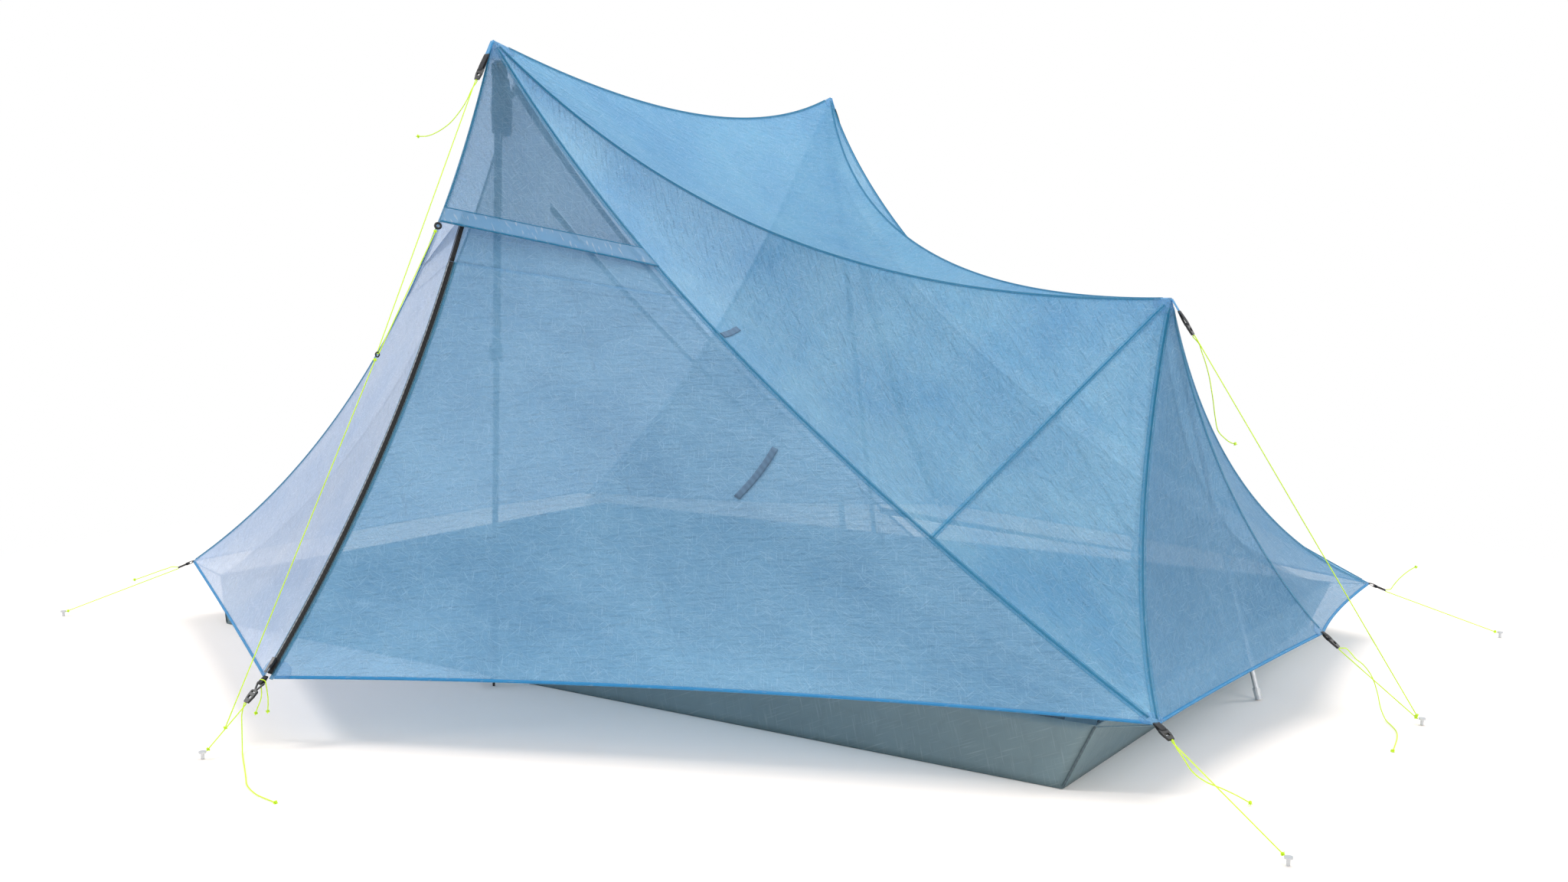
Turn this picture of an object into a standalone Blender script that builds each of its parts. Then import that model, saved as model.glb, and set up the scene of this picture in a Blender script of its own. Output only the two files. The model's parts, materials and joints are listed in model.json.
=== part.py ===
# A three-pole trekking tent, pitched: a taut fabric canopy over a bathtub floor, with a vestibule on
# each long side. Metres, +Z up, +X to the foot end, -Y the near side. The origin is on the ground
# under the middle of the floor. The far side mirrors the near side in the XZ plane.
import math

import bmesh
import bpy
from mathutils import Matrix, Vector

NEAR, FAR = 1, -1
SIDE_NAMES = {NEAR: "near", FAR: "far"}
GAP = 0.0003
SHARP = math.radians(40)

# Canopy corners of the near side
PEAK_X, PEAK_Y, PEAK_Z = -0.235, -0.632, 1.270
FOOT_PEAK_X, FOOT_PEAK_Z = 0.942, 0.767
HEAD_CORNER_X, HEAD_CORNER_Y, HEAD_CORNER_Z = -1.149, -0.706, 0.135
FOOT_CORNER_X, FOOT_CORNER_Y, FOOT_CORNER_Z = 1.182, -0.667, 0.120
FOOT_CENTRE_X, FOOT_CENTRE_Z = 1.256, 0.145
ZIP_X, APEX_Y, APEX_Z = -0.216, -1.242, 0.111
ZIP_TOP_IN, ZIP_TOP_DROP = 0.119, 0.368
HOOD_REACH, HOOD_DROP = 0.154, 0.361

# How far each seam and hem is drawn in at its middle
DOOR_SEAM_SAG = (-0.191, 0.095, -0.015)
RIDGE_SAG = (-0.122, 0.054, -0.139)
CROWN_SAG = (0.056, 0.0, -0.100)
HEAD_SEAM_SAG = (0.062, 0.053, -0.095)
FOOT_SEAM_SAG = (-0.053, 0.041, -0.075)
FOOT_CREASE_SAG = (-0.038, 0.0, -0.037)
HOOD_RIDGE_SAG = (0.0, 0.008, -0.006)
ZIP_SAG = 0.037
DOOR_HEM_SAG = (-0.001, 0.020, 0.013)
HEAD_DOOR_HEM_SAG = (-0.004, 0.012, -0.012)
FOOT_HEM_SAG = (-0.016, 0.0, -0.007)
HEAD_HEM_SAG = (0.020, 0.0, 0.012)

# Where the hood's hem meets the two seams, as shares of their lengths from the peak
HOOD_FOOT_SHARE, HOOD_HEAD_SHARE = 0.376, 0.319

# The doors: each folds along a straight line just inside its curved seam. Above them a fixed band
# of the same cloth runs up behind the hood.
DOOR_TOP_SHARE = 0.92
BAND_TOP_SHARE, BAND_SIDE_SHARE, BAND_GAP = 1.035, 0.98, 0.0012
FOOT_FOLD_IN, HEAD_FOLD_IN = 0.100, 0.076
FOLD_GAP, FOLD_FROM_SHARE = 0.0014, 0.6

# Cloth and seams
CLOTH = 0.001
SEAM_RADIUS = 0.002
HOOD_STEPS, DOOR_STEPS, SEAM_STEPS = 3, 6, 8
ACROSS, ALONG = 8, 8
PEAK_PATCH, FOOT_PEAK_PATCH, CORNER_PATCH = 0.040, 0.035, 0.022
PATCH_REACH_SHARE, SEAM_ROOT_SHARE = 1.8, 0.7

# Zips
TAPE_WIDTH = 0.016
COIL_RADIUS = 0.0022
FOOT_TAPE_SHARE, HEAD_TAPE_SHARE = 0.012, 0.024
SLIDER_LENGTH, SLIDER_WIDTH, SLIDER_HEIGHT = 0.020, 0.009, 0.005
SLIDER_RISE = 0.020
PULL_LENGTH, PULL_WIDTH, PULL_THICK = 0.016, 0.005, 0.0012
DOOR_TAB_LENGTH, DOOR_TAB_WIDTH = 0.008, 0.010

# Webbing, tensioners and rings
WEB_WIDTH, WEB_THICK = 0.012, 0.0012
PEAK_WEB, FOOT_PEAK_WEB, CORNER_WEB, CORNER_ROOT = 0.028, 0.022, 0.010, 0.0
BUCKLE_LENGTH, BUCKLE_WIDTH, BUCKLE_NOSE, BUCKLE_THICK = 0.026, 0.016, 0.011, 0.004
BUCKLE_CHAMFER = 0.0025
BUCKLE_BAR = 0.0028
BUCKLE_SLOT = 0.0032
WEB_ROOT = 0.006
APEX_RING_LENGTH, APEX_RING_WIDTH, APEX_RING_WIRE = 0.016, 0.018, 0.0013
HOOD_RING_RADIUS, HOOD_RING_WIRE = 0.0055, 0.0024
GUY_RING_RADIUS, GUY_RING_WIRE = 0.0045, 0.0014
GUY_RING_DROP, GUY_RING_OUT = 0.609, 0.323

# Stakes: only what stands above the ground
STAKE_SHAFT, STAKE_STAND, STAKE_HEAD, STAKE_HEAD_THICK = 0.003, 0.010, 0.0065, 0.003
HEAD_STAKE = (-1.423, -0.866)
APEX_STAKE = (-0.222, -1.367)
CORNER_STAKE = (1.432, -0.824)
CENTRE_STAKE = (1.437, 0.0)

# Guylines
CORD_RADIUS = 0.001
CORD_SPREAD = 0.0017
CORD_STEPS = 2
KNOT_RADIUS, JOIN_SHARE = 0.003, 0.55

# Bathtub floor
FLOOR_HEAD_INSET, FLOOR_FOOT_INSET, FLOOR_WIDTH = 0.109, 0.142, 1.400
TUB_WALL = 0.110
TUB_SIDE_LEAN, TUB_HEAD_LEAN, TUB_FOOT_LEAN = -0.010, 0.030, 0.050

# Mesh inner walls
MESH_TOP = 0.150
MESH_IN, MESH_DROP = 0.060, 0.055
MESH_HEAD_SHARE, MESH_FOOT_SHARE = 0.030, 0.975
MESH_DOOR_SHARES = (0.45, 0.80)
MESH_DOOR_LOW_SHARE, MESH_DOOR_HIGH_SHARE = 0.05, 0.86
MESH_DOOR_GAP = 0.0015
FOOT_MESH_TOP_IN, FOOT_MESH_TOP_DROP, FOOT_MESH_TOP_WIDTH = 0.024, 0.060, 0.030
FOOT_MESH_SAG = (-0.030, 0.100, -0.110)

# Main poles, measured along each pole from its tip
POLE_FOOT_X, POLE_FOOT_OUT = -0.145, 0.053
POLE_TOP_X, POLE_TOP_IN, POLE_TOP_DROP = 0.004, 0.012, 0.038
POLE_TURN = 12
TIP_RADIUS, TIP_LENGTH = 0.0025, 0.012
HOLDER_RADIUS, HOLDER_LENGTH, HOLDER_TAPER = 0.008, 0.075, 0.045
BASKET_RADIUS, BASKET_THICK, BASKET_AT = 0.020, 0.004, 0.050
LOWER_RADIUS, LOWER_IN_UPPER = 0.006, 0.108
UPPER_RADIUS, UPPER_WALL, UPPER_FOOT, UPPER_IN_GRIP = 0.008, 0.0016, 0.642, 0.100
LOWER_TOP = UPPER_FOOT + LOWER_IN_UPPER
LOCK_RADIUS, LOCK_HEIGHT = 0.012, 0.034
LEVER_WALL, LEVER_HEIGHT, LEVER_CLEAR = 0.0028, 0.026, 0.0006
LEVER_SPAN, LEVER_HINGE_TURN = math.radians(120), math.radians(150)
GRIP_RADIUS, GRIP_WAIST, GRIP_LENGTH, GRIP_DOME = 0.0150, 0.0128, 0.145, 0.010
STRAP_WIDTH, STRAP_THICK, STRAP_DROP, STRAP_LOOP = 0.016, 0.0014, 0.130, 0.014
STRAP_AT = 0.018

# Foot pole
FOOT_POLE_RADIUS, FOOT_POLE_CAP = 0.005, 0.0068
FOOT_POLE_FOOT_X, FOOT_POLE_TOP_IN, FOOT_POLE_TOP_DROP = 1.139, 0.006, 0.0255
FOOT_POLE_CAP_LENGTH = 0.022

# Free ends of the guylines and the two zip pull cords: routes laid by hand
PEAK_TAIL = [
    (-0.2400, -0.6870, 1.1700), (-0.2480, -0.6910, 1.1520), (-0.2590, -0.6970, 1.1320),
    (-0.2770, -0.7090, 1.1060), (-0.2960, -0.7220, 1.0890), (-0.3150, -0.7350, 1.0790),
    (-0.3340, -0.7480, 1.0780),
]
APEX_TAIL = [
    (-0.2190, -1.2880, 0.0600), (-0.2190, -1.2890, 0.0480), (-0.2180, -1.2900, 0.0320),
    (-0.2120, -1.2950, 0.0130), (-0.1950, -1.3080, 0.0030), (-0.1650, -1.3300, 0.0012),
    (-0.1250, -1.3580, 0.0012), (-0.0830, -1.3880, 0.0012), (-0.0430, -1.4160, 0.0012),
    (-0.0010, -1.4340, 0.0012), (0.0290, -1.4400, 0.0012), (0.0640, -1.4440, 0.0012),
]
HEAD_TAIL = [
    (-1.1930, -0.7310, 0.1215), (-1.2030, -0.7370, 0.1175), (-1.2160, -0.7450, 0.1125),
    (-1.2400, -0.7610, 0.1020), (-1.2610, -0.7750, 0.0930), (-1.2710, -0.7820, 0.0900),
]
CORNER_TAIL = [
    (1.2200, -0.6880, 0.0960), (1.2250, -0.6840, 0.0870), (1.2300, -0.6770, 0.0750),
    (1.2400, -0.6680, 0.0560), (1.2560, -0.6540, 0.0400), (1.2750, -0.6380, 0.0290),
    (1.2950, -0.6210, 0.0160), (1.3140, -0.6060, 0.0020),
]
FAR_CORNER_TAIL = [
    (1.2220, 0.6900, 0.1090), (1.2260, 0.6940, 0.1160), (1.2350, 0.7010, 0.1300),
    (1.2480, 0.7090, 0.1450), (1.2610, 0.7170, 0.1560), (1.2700, 0.7240, 0.1600),
]
CENTRE_TAIL = [
    (1.2960, 0.0040, 0.1220), (1.3030, 0.0100, 0.1140), (1.3120, 0.0180, 0.1010),
    (1.3250, 0.0280, 0.0880), (1.3400, 0.0290, 0.0680), (1.3520, 0.0220, 0.0420),
    (1.3620, 0.0080, 0.0180), (1.3760, -0.0120, 0.0030), (1.3940, -0.0420, 0.0012),
    (1.4090, -0.0740, 0.0012), (1.4190, -0.1140, 0.0012), (1.4270, -0.1690, 0.0012),
    (1.4310, -0.2020, 0.0012),
]
FOOT_PEAK_TAIL = [
    (0.9990, 0.0020, 0.6800), (1.0040, 0.0050, 0.6640), (1.0100, 0.0090, 0.6450),
    (1.0170, 0.0150, 0.6150), (1.0230, 0.0210, 0.5750), (1.0270, 0.0260, 0.5400),
    (1.0320, 0.0310, 0.5120), (1.0440, 0.0390, 0.4960), (1.0540, 0.0450, 0.4880),
    (1.0640, 0.0510, 0.4850),
]
PULL_CORD = [
    (-0.2350, -1.2490, 0.0450), (-0.2310, -1.2465, 0.0580), (-0.2270, -1.2440, 0.0690),
    (-0.2240, -1.2428, 0.0800), (-0.2232, -1.2432, 0.0920), (-0.2230, -1.2445, 0.1010),
    (-0.2232, -1.2453, 0.1079), (-0.2204, -1.2466, 0.1104), (-0.2161, -1.2468, 0.1107),
    (-0.2118, -1.2466, 0.1104), (-0.2090, -1.2453, 0.1079), (-0.2088, -1.2440, 0.1000),
    (-0.2095, -1.2420, 0.0900), (-0.2105, -1.2400, 0.0780), (-0.2120, -1.2390, 0.0650),
    (-0.2140, -1.2390, 0.0490),
]

COLOURS = {
    "fly": ((0.30, 0.50, 0.76), 0.45, 0.0),
    "seam": ((0.05, 0.28, 0.58), 0.50, 0.0),
    "patch": ((0.16, 0.38, 0.62), 0.50, 0.0),
    "tub": ((0.17, 0.26, 0.31), 0.60, 0.0),
    "mesh": ((0.16, 0.18, 0.20), 0.80, 0.0),
    "black_plastic": ((0.012, 0.012, 0.014), 0.40, 0.0),
    "webbing": ((0.015, 0.015, 0.017), 0.80, 0.0),
    "cord": ((0.62, 0.95, 0.03), 0.55, 0.0),
    "steel": ((0.55, 0.56, 0.58), 0.30, 1.0),
    "shaft": ((0.05, 0.05, 0.055), 0.30, 0.0),
    "foam": ((0.03, 0.03, 0.032), 0.85, 0.0),
}


def fresh_collection(name):
    collection = bpy.data.collections.new(name)
    bpy.context.scene.collection.children.link(collection)
    return collection


for old in list(bpy.data.objects):
    bpy.data.objects.remove(old)
TENT = fresh_collection("trekking_pole_tent")
CUTTERS = fresh_collection("cutters")


def paint(name):
    known = bpy.data.materials.get(name)
    if known:
        return known
    colour, roughness, metallic = COLOURS[name]
    material = bpy.data.materials.new(name)
    material.use_nodes = True
    shader = material.node_tree.nodes["Principled BSDF"]
    shader.inputs["Base Color"].default_value = (*colour, 1.0)
    shader.inputs["Roughness"].default_value = roughness
    shader.inputs["Metallic"].default_value = metallic
    return material


def add_object(name, data, colour, matrix=None):
    made = bpy.data.objects.new(name, data)
    if colour:
        data.materials.append(paint(colour))
        TENT.objects.link(made)
    else:
        CUTTERS.objects.link(made)
        made.hide_render = True
        made.display_type = "WIRE"
    if matrix:
        made.matrix_world = matrix
    return made


def from_bmesh(name, bm, colour, matrix=None):
    mesh = bpy.data.meshes.new(name)
    bm.to_mesh(mesh)
    bm.free()
    return add_object(name, mesh, colour, matrix)


def frame_at(place, along, outward):
    """X runs along, Z is the outward direction squared to it."""
    x = along.normalized()
    z = (outward - outward.dot(x) * x).normalized()
    y = z.cross(x)
    turn = Matrix((x, y, z)).transposed().to_4x4()
    return Matrix.Translation(place) @ turn


def carry(carrier, *pieces):
    """Hangs pieces on an empty without moving them."""
    for piece in pieces:
        piece.parent = carrier
        piece.matrix_parent_inverse = carrier.matrix_basis.inverted()


def joint(name, place, axis, *pieces):
    """An empty on a joint's axis, with Z along it, that carries what moves there."""
    carrier = bpy.data.objects.new(name, None)
    TENT.objects.link(carrier)
    carrier.matrix_world = Matrix.Translation(place) @ axis.to_track_quat("Z", "Y").to_matrix().to_4x4()
    carry(carrier, *pieces)
    return carrier


def as_mesh(piece):
    """A curve as a mesh with its caps welded on, so that it can be joined to others."""
    bpy.context.view_layer.update()
    mesh = bpy.data.meshes.new_from_object(piece.evaluated_get(bpy.context.evaluated_depsgraph_get()))
    bm = bmesh.new()
    bm.from_mesh(mesh)
    bmesh.ops.remove_doubles(bm, verts=bm.verts, dist=GAP / 30)
    bm.to_mesh(mesh)
    bm.free()
    made = bpy.data.objects.new(piece.name + "_mesh", mesh)
    made.matrix_world = piece.matrix_world
    bpy.data.objects.remove(piece)
    return made


def fuse(name, pieces, colour):
    """One body from overlapping pieces: the first is joined with each of the others."""
    pieces = [as_mesh(piece) if piece.type == "CURVE" else piece for piece in pieces]
    whole, *others = pieces
    for piece in pieces:
        for collection in list(piece.users_collection):
            collection.objects.unlink(piece)
    TENT.objects.link(whole)
    whole.name = name
    if not whole.data.materials:
        whole.data.materials.append(paint(colour))
    for piece in others:
        CUTTERS.objects.link(piece)
        piece.hide_render = True
        piece.display_type = "WIRE"
        join = whole.modifiers.new("join", "BOOLEAN")
        join.operation = "UNION"
        join.solver = "MANIFOLD"
        join.object = piece
    return whole


# Lines and surfaces


def sagged(start, end, sag):
    return lambda t: start.lerp(end, t) + 4 * t * (1 - t) * Vector(sag)


def straight(start, end):
    return lambda t: start.lerp(end, t)


def stretch(curve, t0, t1):
    return lambda t: curve(t0 + (t1 - t0) * t)


def cornered(curve, nodes):
    """The same line as straight runs between its nodes, so that every piece along it agrees."""
    points = [curve(t) for t in nodes]

    def at(t):
        k = next((i for i in range(1, len(nodes) - 1) if t <= nodes[i]), len(nodes) - 1)
        return points[k - 1].lerp(points[k], (t - nodes[k - 1]) / (nodes[k] - nodes[k - 1]))

    return at


def coons(bottom, top, left, right):
    """The surface between four edges; u runs from left to right and v from bottom to top."""

    def at(u, v):
        across = bottom(u).lerp(top(u), v)
        along = left(v).lerp(right(v), u)
        corners = left(0).lerp(right(0), u).lerp(left(1).lerp(right(1), u), v)
        return across + along - corners

    return at


def even(count, low=0.0, high=1.0):
    return [low + (high - low) * i / count for i in range(count + 1)]


def inset_shares(surface, u, v, du, dv, distance):
    """How far to step along (du, dv) from an edge so that it lies a distance into the surface."""
    small = 1 / 200
    along_u, along_v = abs(dv) * small, abs(du) * small
    edge = surface(u + along_u, v + along_v) - surface(u - along_u, v - along_v)
    inward = (surface(u + du * small, v + dv * small) - surface(u, v)) / small
    square = inward - inward.project(edge)
    return distance / square.length


def grid_points(surface, us, vs, insets):
    rows = [[None] * len(us) for _ in vs]
    for i, u in enumerate(us):
        low = inset_shares(surface, u, vs[0], 0, 1, insets.get("bottom", 0.0))
        high = inset_shares(surface, u, vs[-1], 0, -1, insets.get("top", 0.0))
        for j, v in enumerate(vs):
            share = (v - vs[0]) / (vs[-1] - vs[0])
            at = v + low * (1 - share) - high * share
            left = inset_shares(surface, 0.0, at, 1, 0, insets.get("left", 0.0))
            right = inset_shares(surface, 1.0, at, -1, 0, insets.get("right", 0.0))
            rows[j][i] = surface(u + left * (1 - u) - right * u, at)
    return rows


def up_to(apex, radius, *edges):
    """The share at which every edge of a triangle has come well inside the patch at its tip."""
    inside = 0.8 * radius
    return next(t for t in even(1000) if all((edge(t) - apex).length < inside for edge in edges))


def grid_bmesh(rows):
    """A primitive grid whose points are moved onto the rows."""
    bm = bmesh.new()
    nv, nu = len(rows) - 1, len(rows[0]) - 1
    bmesh.ops.create_grid(bm, x_segments=nu, y_segments=nv, size=1.0)
    for vert in bm.verts:
        i = round((vert.co.x + 1) / 2 * nu)
        j = round((vert.co.y + 1) / 2 * nv)
        vert.co = rows[j][i]
    return bm


def thicken(made, thickness=CLOTH):
    solid = made.modifiers.new("cloth", "SOLIDIFY")
    solid.thickness = thickness
    solid.offset = 0.0
    solid.use_even_offset = True


def trim(made, cutters):
    for cutter in cutters:
        cut = made.modifiers.new("trim", "BOOLEAN")
        cut.operation = "DIFFERENCE"
        cut.solver = "EXACT"
        cut.object = cutter


def without_opening(bm, rows, opening):
    """Takes the faces of a door's opening out of a wall's grid."""
    (i0, i1), (j0, j1) = opening
    points = [rows[j][i] for j in range(j0, j1 + 1) for i in range(i0, i1 + 1)]
    found = {v for v in bm.verts if any((v.co - q).length < GAP for q in points)}
    bmesh.ops.delete(bm, geom=[f for f in bm.faces if all(v in found for v in f.verts)], context="FACES")


def sheet(name, grids, colour, cutters=(), thickness=CLOTH, opening=None):
    """A cloth panel from one or more grids that share an edge."""
    bm = bmesh.new()
    for rows in grids:
        part = grid_bmesh(rows)
        mesh = bpy.data.meshes.new("part")
        part.to_mesh(mesh)
        part.free()
        bm.from_mesh(mesh)
        bpy.data.meshes.remove(mesh)
    bmesh.ops.remove_doubles(bm, verts=bm.verts, dist=GAP / 10)
    if opening:
        without_opening(bm, grids[0], opening)
    bmesh.ops.recalc_face_normals(bm, faces=bm.faces)
    made = from_bmesh(name, bm, colour)
    thicken(made, thickness)
    trim(made, cutters)
    return made


def smooth_route(points):
    """Reads a smooth curve through the points of a route."""
    points = [Vector(p) for p in points]
    ends = [2 * points[0] - points[1], *points, 2 * points[-1] - points[-2]]
    route = []
    for a, b, c, d in zip(ends, ends[1:], ends[2:], ends[3:]):
        for k in range(CORD_STEPS):
            t = k / CORD_STEPS
            bend = (c - a) * t + (2 * a - 5 * b + 4 * c - d) * t**2 + (3 * b - a - 3 * c + d) * t**3
            route.append(b + bend / 2)
    return [*route, points[-1]]


def tube(name, route, radius, colour, resolution=2):
    curve = bpy.data.curves.new(name, "CURVE")
    curve.dimensions = "3D"
    curve.bevel_depth = radius
    curve.bevel_resolution = resolution
    curve.use_fill_caps = True
    spline = curve.splines.new("POLY")
    spline.points.add(len(route) - 1)
    for point, place in zip(spline.points, route):
        point.co = (*place, 1.0)
    return add_object(name, curve, colour)


def turned(name, profile, colour, matrix=None, steps=POLE_TURN):
    """Turns an outline of radius and height pairs, given down its outer side, about Z."""
    bm = bmesh.new()
    verts = [bm.verts.new((r, 0.0, z)) for r, z in profile]
    for a, b in zip(verts, verts[1:]):
        bm.edges.new((a, b))
    if profile[0][0] > 0:
        bm.edges.new((verts[-1], verts[0]))
    made = from_bmesh(name, bm, colour, matrix)
    screw = made.modifiers.new("turn", "SCREW")
    screw.steps = screw.render_steps = steps
    screw.use_merge_vertices = True
    screw.merge_threshold = GAP / 30
    return made


def outline(name, loops, thickness, colour, matrix):
    curve = bpy.data.curves.new(name, "CURVE")
    curve.dimensions = "2D"
    curve.fill_mode = "BOTH"
    curve.extrude = thickness / 2
    for loop in loops:
        spline = curve.splines.new("POLY")
        spline.points.add(len(loop) - 1)
        spline.use_cyclic_u = True
        for point, (x, y) in zip(spline.points, loop):
            point.co = (x, y, 0.0, 1.0)
    return add_object(name, curve, colour, matrix)


def rectangle(x0, x1, half_width):
    return [(x0, -half_width), (x1, -half_width), (x1, half_width), (x0, half_width)]


def block(name, size, centre, colour, matrix):
    bm = bmesh.new()
    bmesh.ops.create_cube(bm, size=1.0)
    bmesh.ops.scale(bm, vec=size, verts=bm.verts)
    bmesh.ops.translate(bm, vec=centre, verts=bm.verts)
    return from_bmesh(name, bm, colour, matrix)


def ring(name, centre, normal, radius, wire, colour):
    bpy.ops.mesh.primitive_torus_add(
        major_radius=radius, minor_radius=wire, major_segments=14, minor_segments=6
    )
    made = bpy.context.object
    made.name = name
    for collection in list(made.users_collection):
        collection.objects.unlink(made)
    TENT.objects.link(made)
    made.data.materials.append(paint(colour))
    made.data.shade_smooth()
    made.matrix_world = Matrix.Translation(centre) @ normal.to_track_quat("Z", "Y").to_matrix().to_4x4()
    return made


# The canopy's lines, for either side


def split_nodes(share):
    return even(HOOD_STEPS, 0.0, share) + even(DOOR_STEPS, share, 1.0)[1:]


DOOR_NODES, HEAD_NODES = split_nodes(HOOD_FOOT_SHARE), split_nodes(HOOD_HEAD_SHARE)
SEAM_NODES = even(SEAM_STEPS)


def reversed_nodes(nodes):
    return [1 - t for t in nodes[::-1]]


def lines_of(side):
    def place(x, y, z):
        return Vector((x, y * side, z))

    def sag(values):
        return Vector((values[0], values[1] * side, values[2]))

    peak = place(PEAK_X, PEAK_Y, PEAK_Z)
    other_peak = place(PEAK_X, -PEAK_Y, PEAK_Z)
    foot_peak = place(FOOT_PEAK_X, 0.0, FOOT_PEAK_Z)
    head_corner = place(HEAD_CORNER_X, HEAD_CORNER_Y, HEAD_CORNER_Z)
    foot_corner = place(FOOT_CORNER_X, FOOT_CORNER_Y, FOOT_CORNER_Z)
    foot_centre = place(FOOT_CENTRE_X, 0.0, FOOT_CENTRE_Z)
    apex = place(ZIP_X, APEX_Y, APEX_Z)
    zip_top = place(ZIP_X, PEAK_Y - ZIP_TOP_IN, PEAK_Z - ZIP_TOP_DROP)
    hood_corner = place(PEAK_X, PEAK_Y - HOOD_REACH, PEAK_Z - HOOD_DROP)
    door_seam = cornered(sagged(peak, foot_corner, sag(DOOR_SEAM_SAG)), DOOR_NODES)
    head_seam = cornered(sagged(peak, head_corner, sag(HEAD_SEAM_SAG)), HEAD_NODES)
    chord = zip_top - apex
    radius = chord.length**2 / (8 * ZIP_SAG) + ZIP_SAG / 2
    half_angle = math.asin(chord.length / 2 / radius)
    outward = Vector((0.0, -chord.z * side, abs(chord.y))).normalized()
    hub = (apex + zip_top) / 2 + outward * (radius - ZIP_SAG)
    axis = Vector((side, 0.0, 0.0))

    def zip_line(t):
        turn = Matrix.Rotation(2 * half_angle * t, 3, axis)
        return hub + turn @ (apex - hub)

    return {
        "side": side,
        "peak": peak,
        "other_peak": other_peak,
        "foot_peak": foot_peak,
        "head_corner": head_corner,
        "foot_corner": foot_corner,
        "foot_centre": foot_centre,
        "apex": apex,
        "zip_top": zip_top,
        "hood_corner": hood_corner,
        "hood_foot": door_seam(HOOD_FOOT_SHARE),
        "hood_head": head_seam(HOOD_HEAD_SHARE),
        "door_seam": door_seam,
        "head_seam": head_seam,
        "ridge": cornered(sagged(peak, foot_peak, sag(RIDGE_SAG)), DOOR_NODES),
        "crown": cornered(sagged(peak, other_peak, sag(CROWN_SAG)), SEAM_NODES),
        "foot_seam": cornered(sagged(foot_peak, foot_corner, sag(FOOT_SEAM_SAG)), SEAM_NODES),
        "foot_crease": cornered(sagged(foot_peak, foot_centre, sag(FOOT_CREASE_SAG)), SEAM_NODES),
        "hood_ridge": sagged(peak, hood_corner, sag(HOOD_RIDGE_SAG)),
        "zip_line": zip_line,
        "zip_hub": hub,
        "door_hem": sagged(apex, foot_corner, sag(DOOR_HEM_SAG)),
        "head_door_hem": sagged(apex, head_corner, sag(HEAD_DOOR_HEM_SAG)),
        "foot_hem": sagged(foot_centre, foot_corner, sag(FOOT_HEM_SAG)),
    }


LINES = {side: lines_of(side) for side in (NEAR, FAR)}


def rooted_route(curve, nodes, start_radius, end_radius):
    """The run of a seam between the patches at its two ends, rooted in both."""
    steps = 1000

    def first(corner, radius, shares):
        return next(t for t in shares if (curve(t) - corner).length > radius * SEAM_ROOT_SHARE)

    low = first(curve(0), start_radius, even(steps))
    high = first(curve(1), end_radius, even(steps, 1.0, 0.0))
    return [curve(t) for t in (low, *(n for n in nodes if low < n < high), high)]


def patch_sphere(name, corner, radius):
    bm = bmesh.new()
    bmesh.ops.create_uvsphere(bm, u_segments=20, v_segments=12, radius=radius)
    return from_bmesh(name, bm, None, Matrix.Translation(corner))


def corner_patch(name, corner, radius, directions):
    """A stiffened corner: the solid angle between its seams, cut round at the patch's radius."""
    bm = bmesh.new()
    reach = radius * PATCH_REACH_SHARE
    bm.verts.new(corner)
    for direction in directions:
        bm.verts.new(corner + direction.normalized() * reach)
    hull = bmesh.ops.convex_hull(bm, input=bm.verts)
    inner = [v for v in hull["geom_interior"] if isinstance(v, bmesh.types.BMVert)]
    bmesh.ops.delete(bm, geom=inner, context="VERTS")
    bmesh.ops.recalc_face_normals(bm, faces=bm.faces)
    made = from_bmesh(name, bm, "seam")
    cut = made.modifiers.new("round", "BOOLEAN")
    cut.operation = "INTERSECT"
    cut.solver = "EXACT"
    cut.object = patch_sphere(name + "_round", corner, radius - GAP)
    return made


def leaving(curve, reverse=False):
    """The direction in which a line leaves one of its ends."""
    small = PATCH_REACH_SHARE / 100
    return curve(1 - small) - curve(1) if reverse else curve(small) - curve(0)


def sphere_set(side):
    p = LINES[side]
    who = SIDE_NAMES[side]
    return {
        "peak": patch_sphere(f"{who}_peak_cut", p["peak"], PEAK_PATCH),
        "head": patch_sphere(f"{who}_head_cut", p["head_corner"], CORNER_PATCH),
        "foot": patch_sphere(f"{who}_foot_cut", p["foot_corner"], CORNER_PATCH),
        "mesh": patch_sphere(f"{who}_mesh_cut", p["peak"], MESH_TOP),
    }


CUTS = {side: sphere_set(side) for side in (NEAR, FAR)}
FOOT_PEAK_CUT = patch_sphere("foot_peak_cut", LINES[NEAR]["foot_peak"], FOOT_PEAK_PATCH)
FOOT_CENTRE_CUT = patch_sphere("foot_centre_cut", LINES[NEAR]["foot_centre"], CORNER_PATCH)
SEAM_INSET = SEAM_RADIUS + GAP


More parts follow.
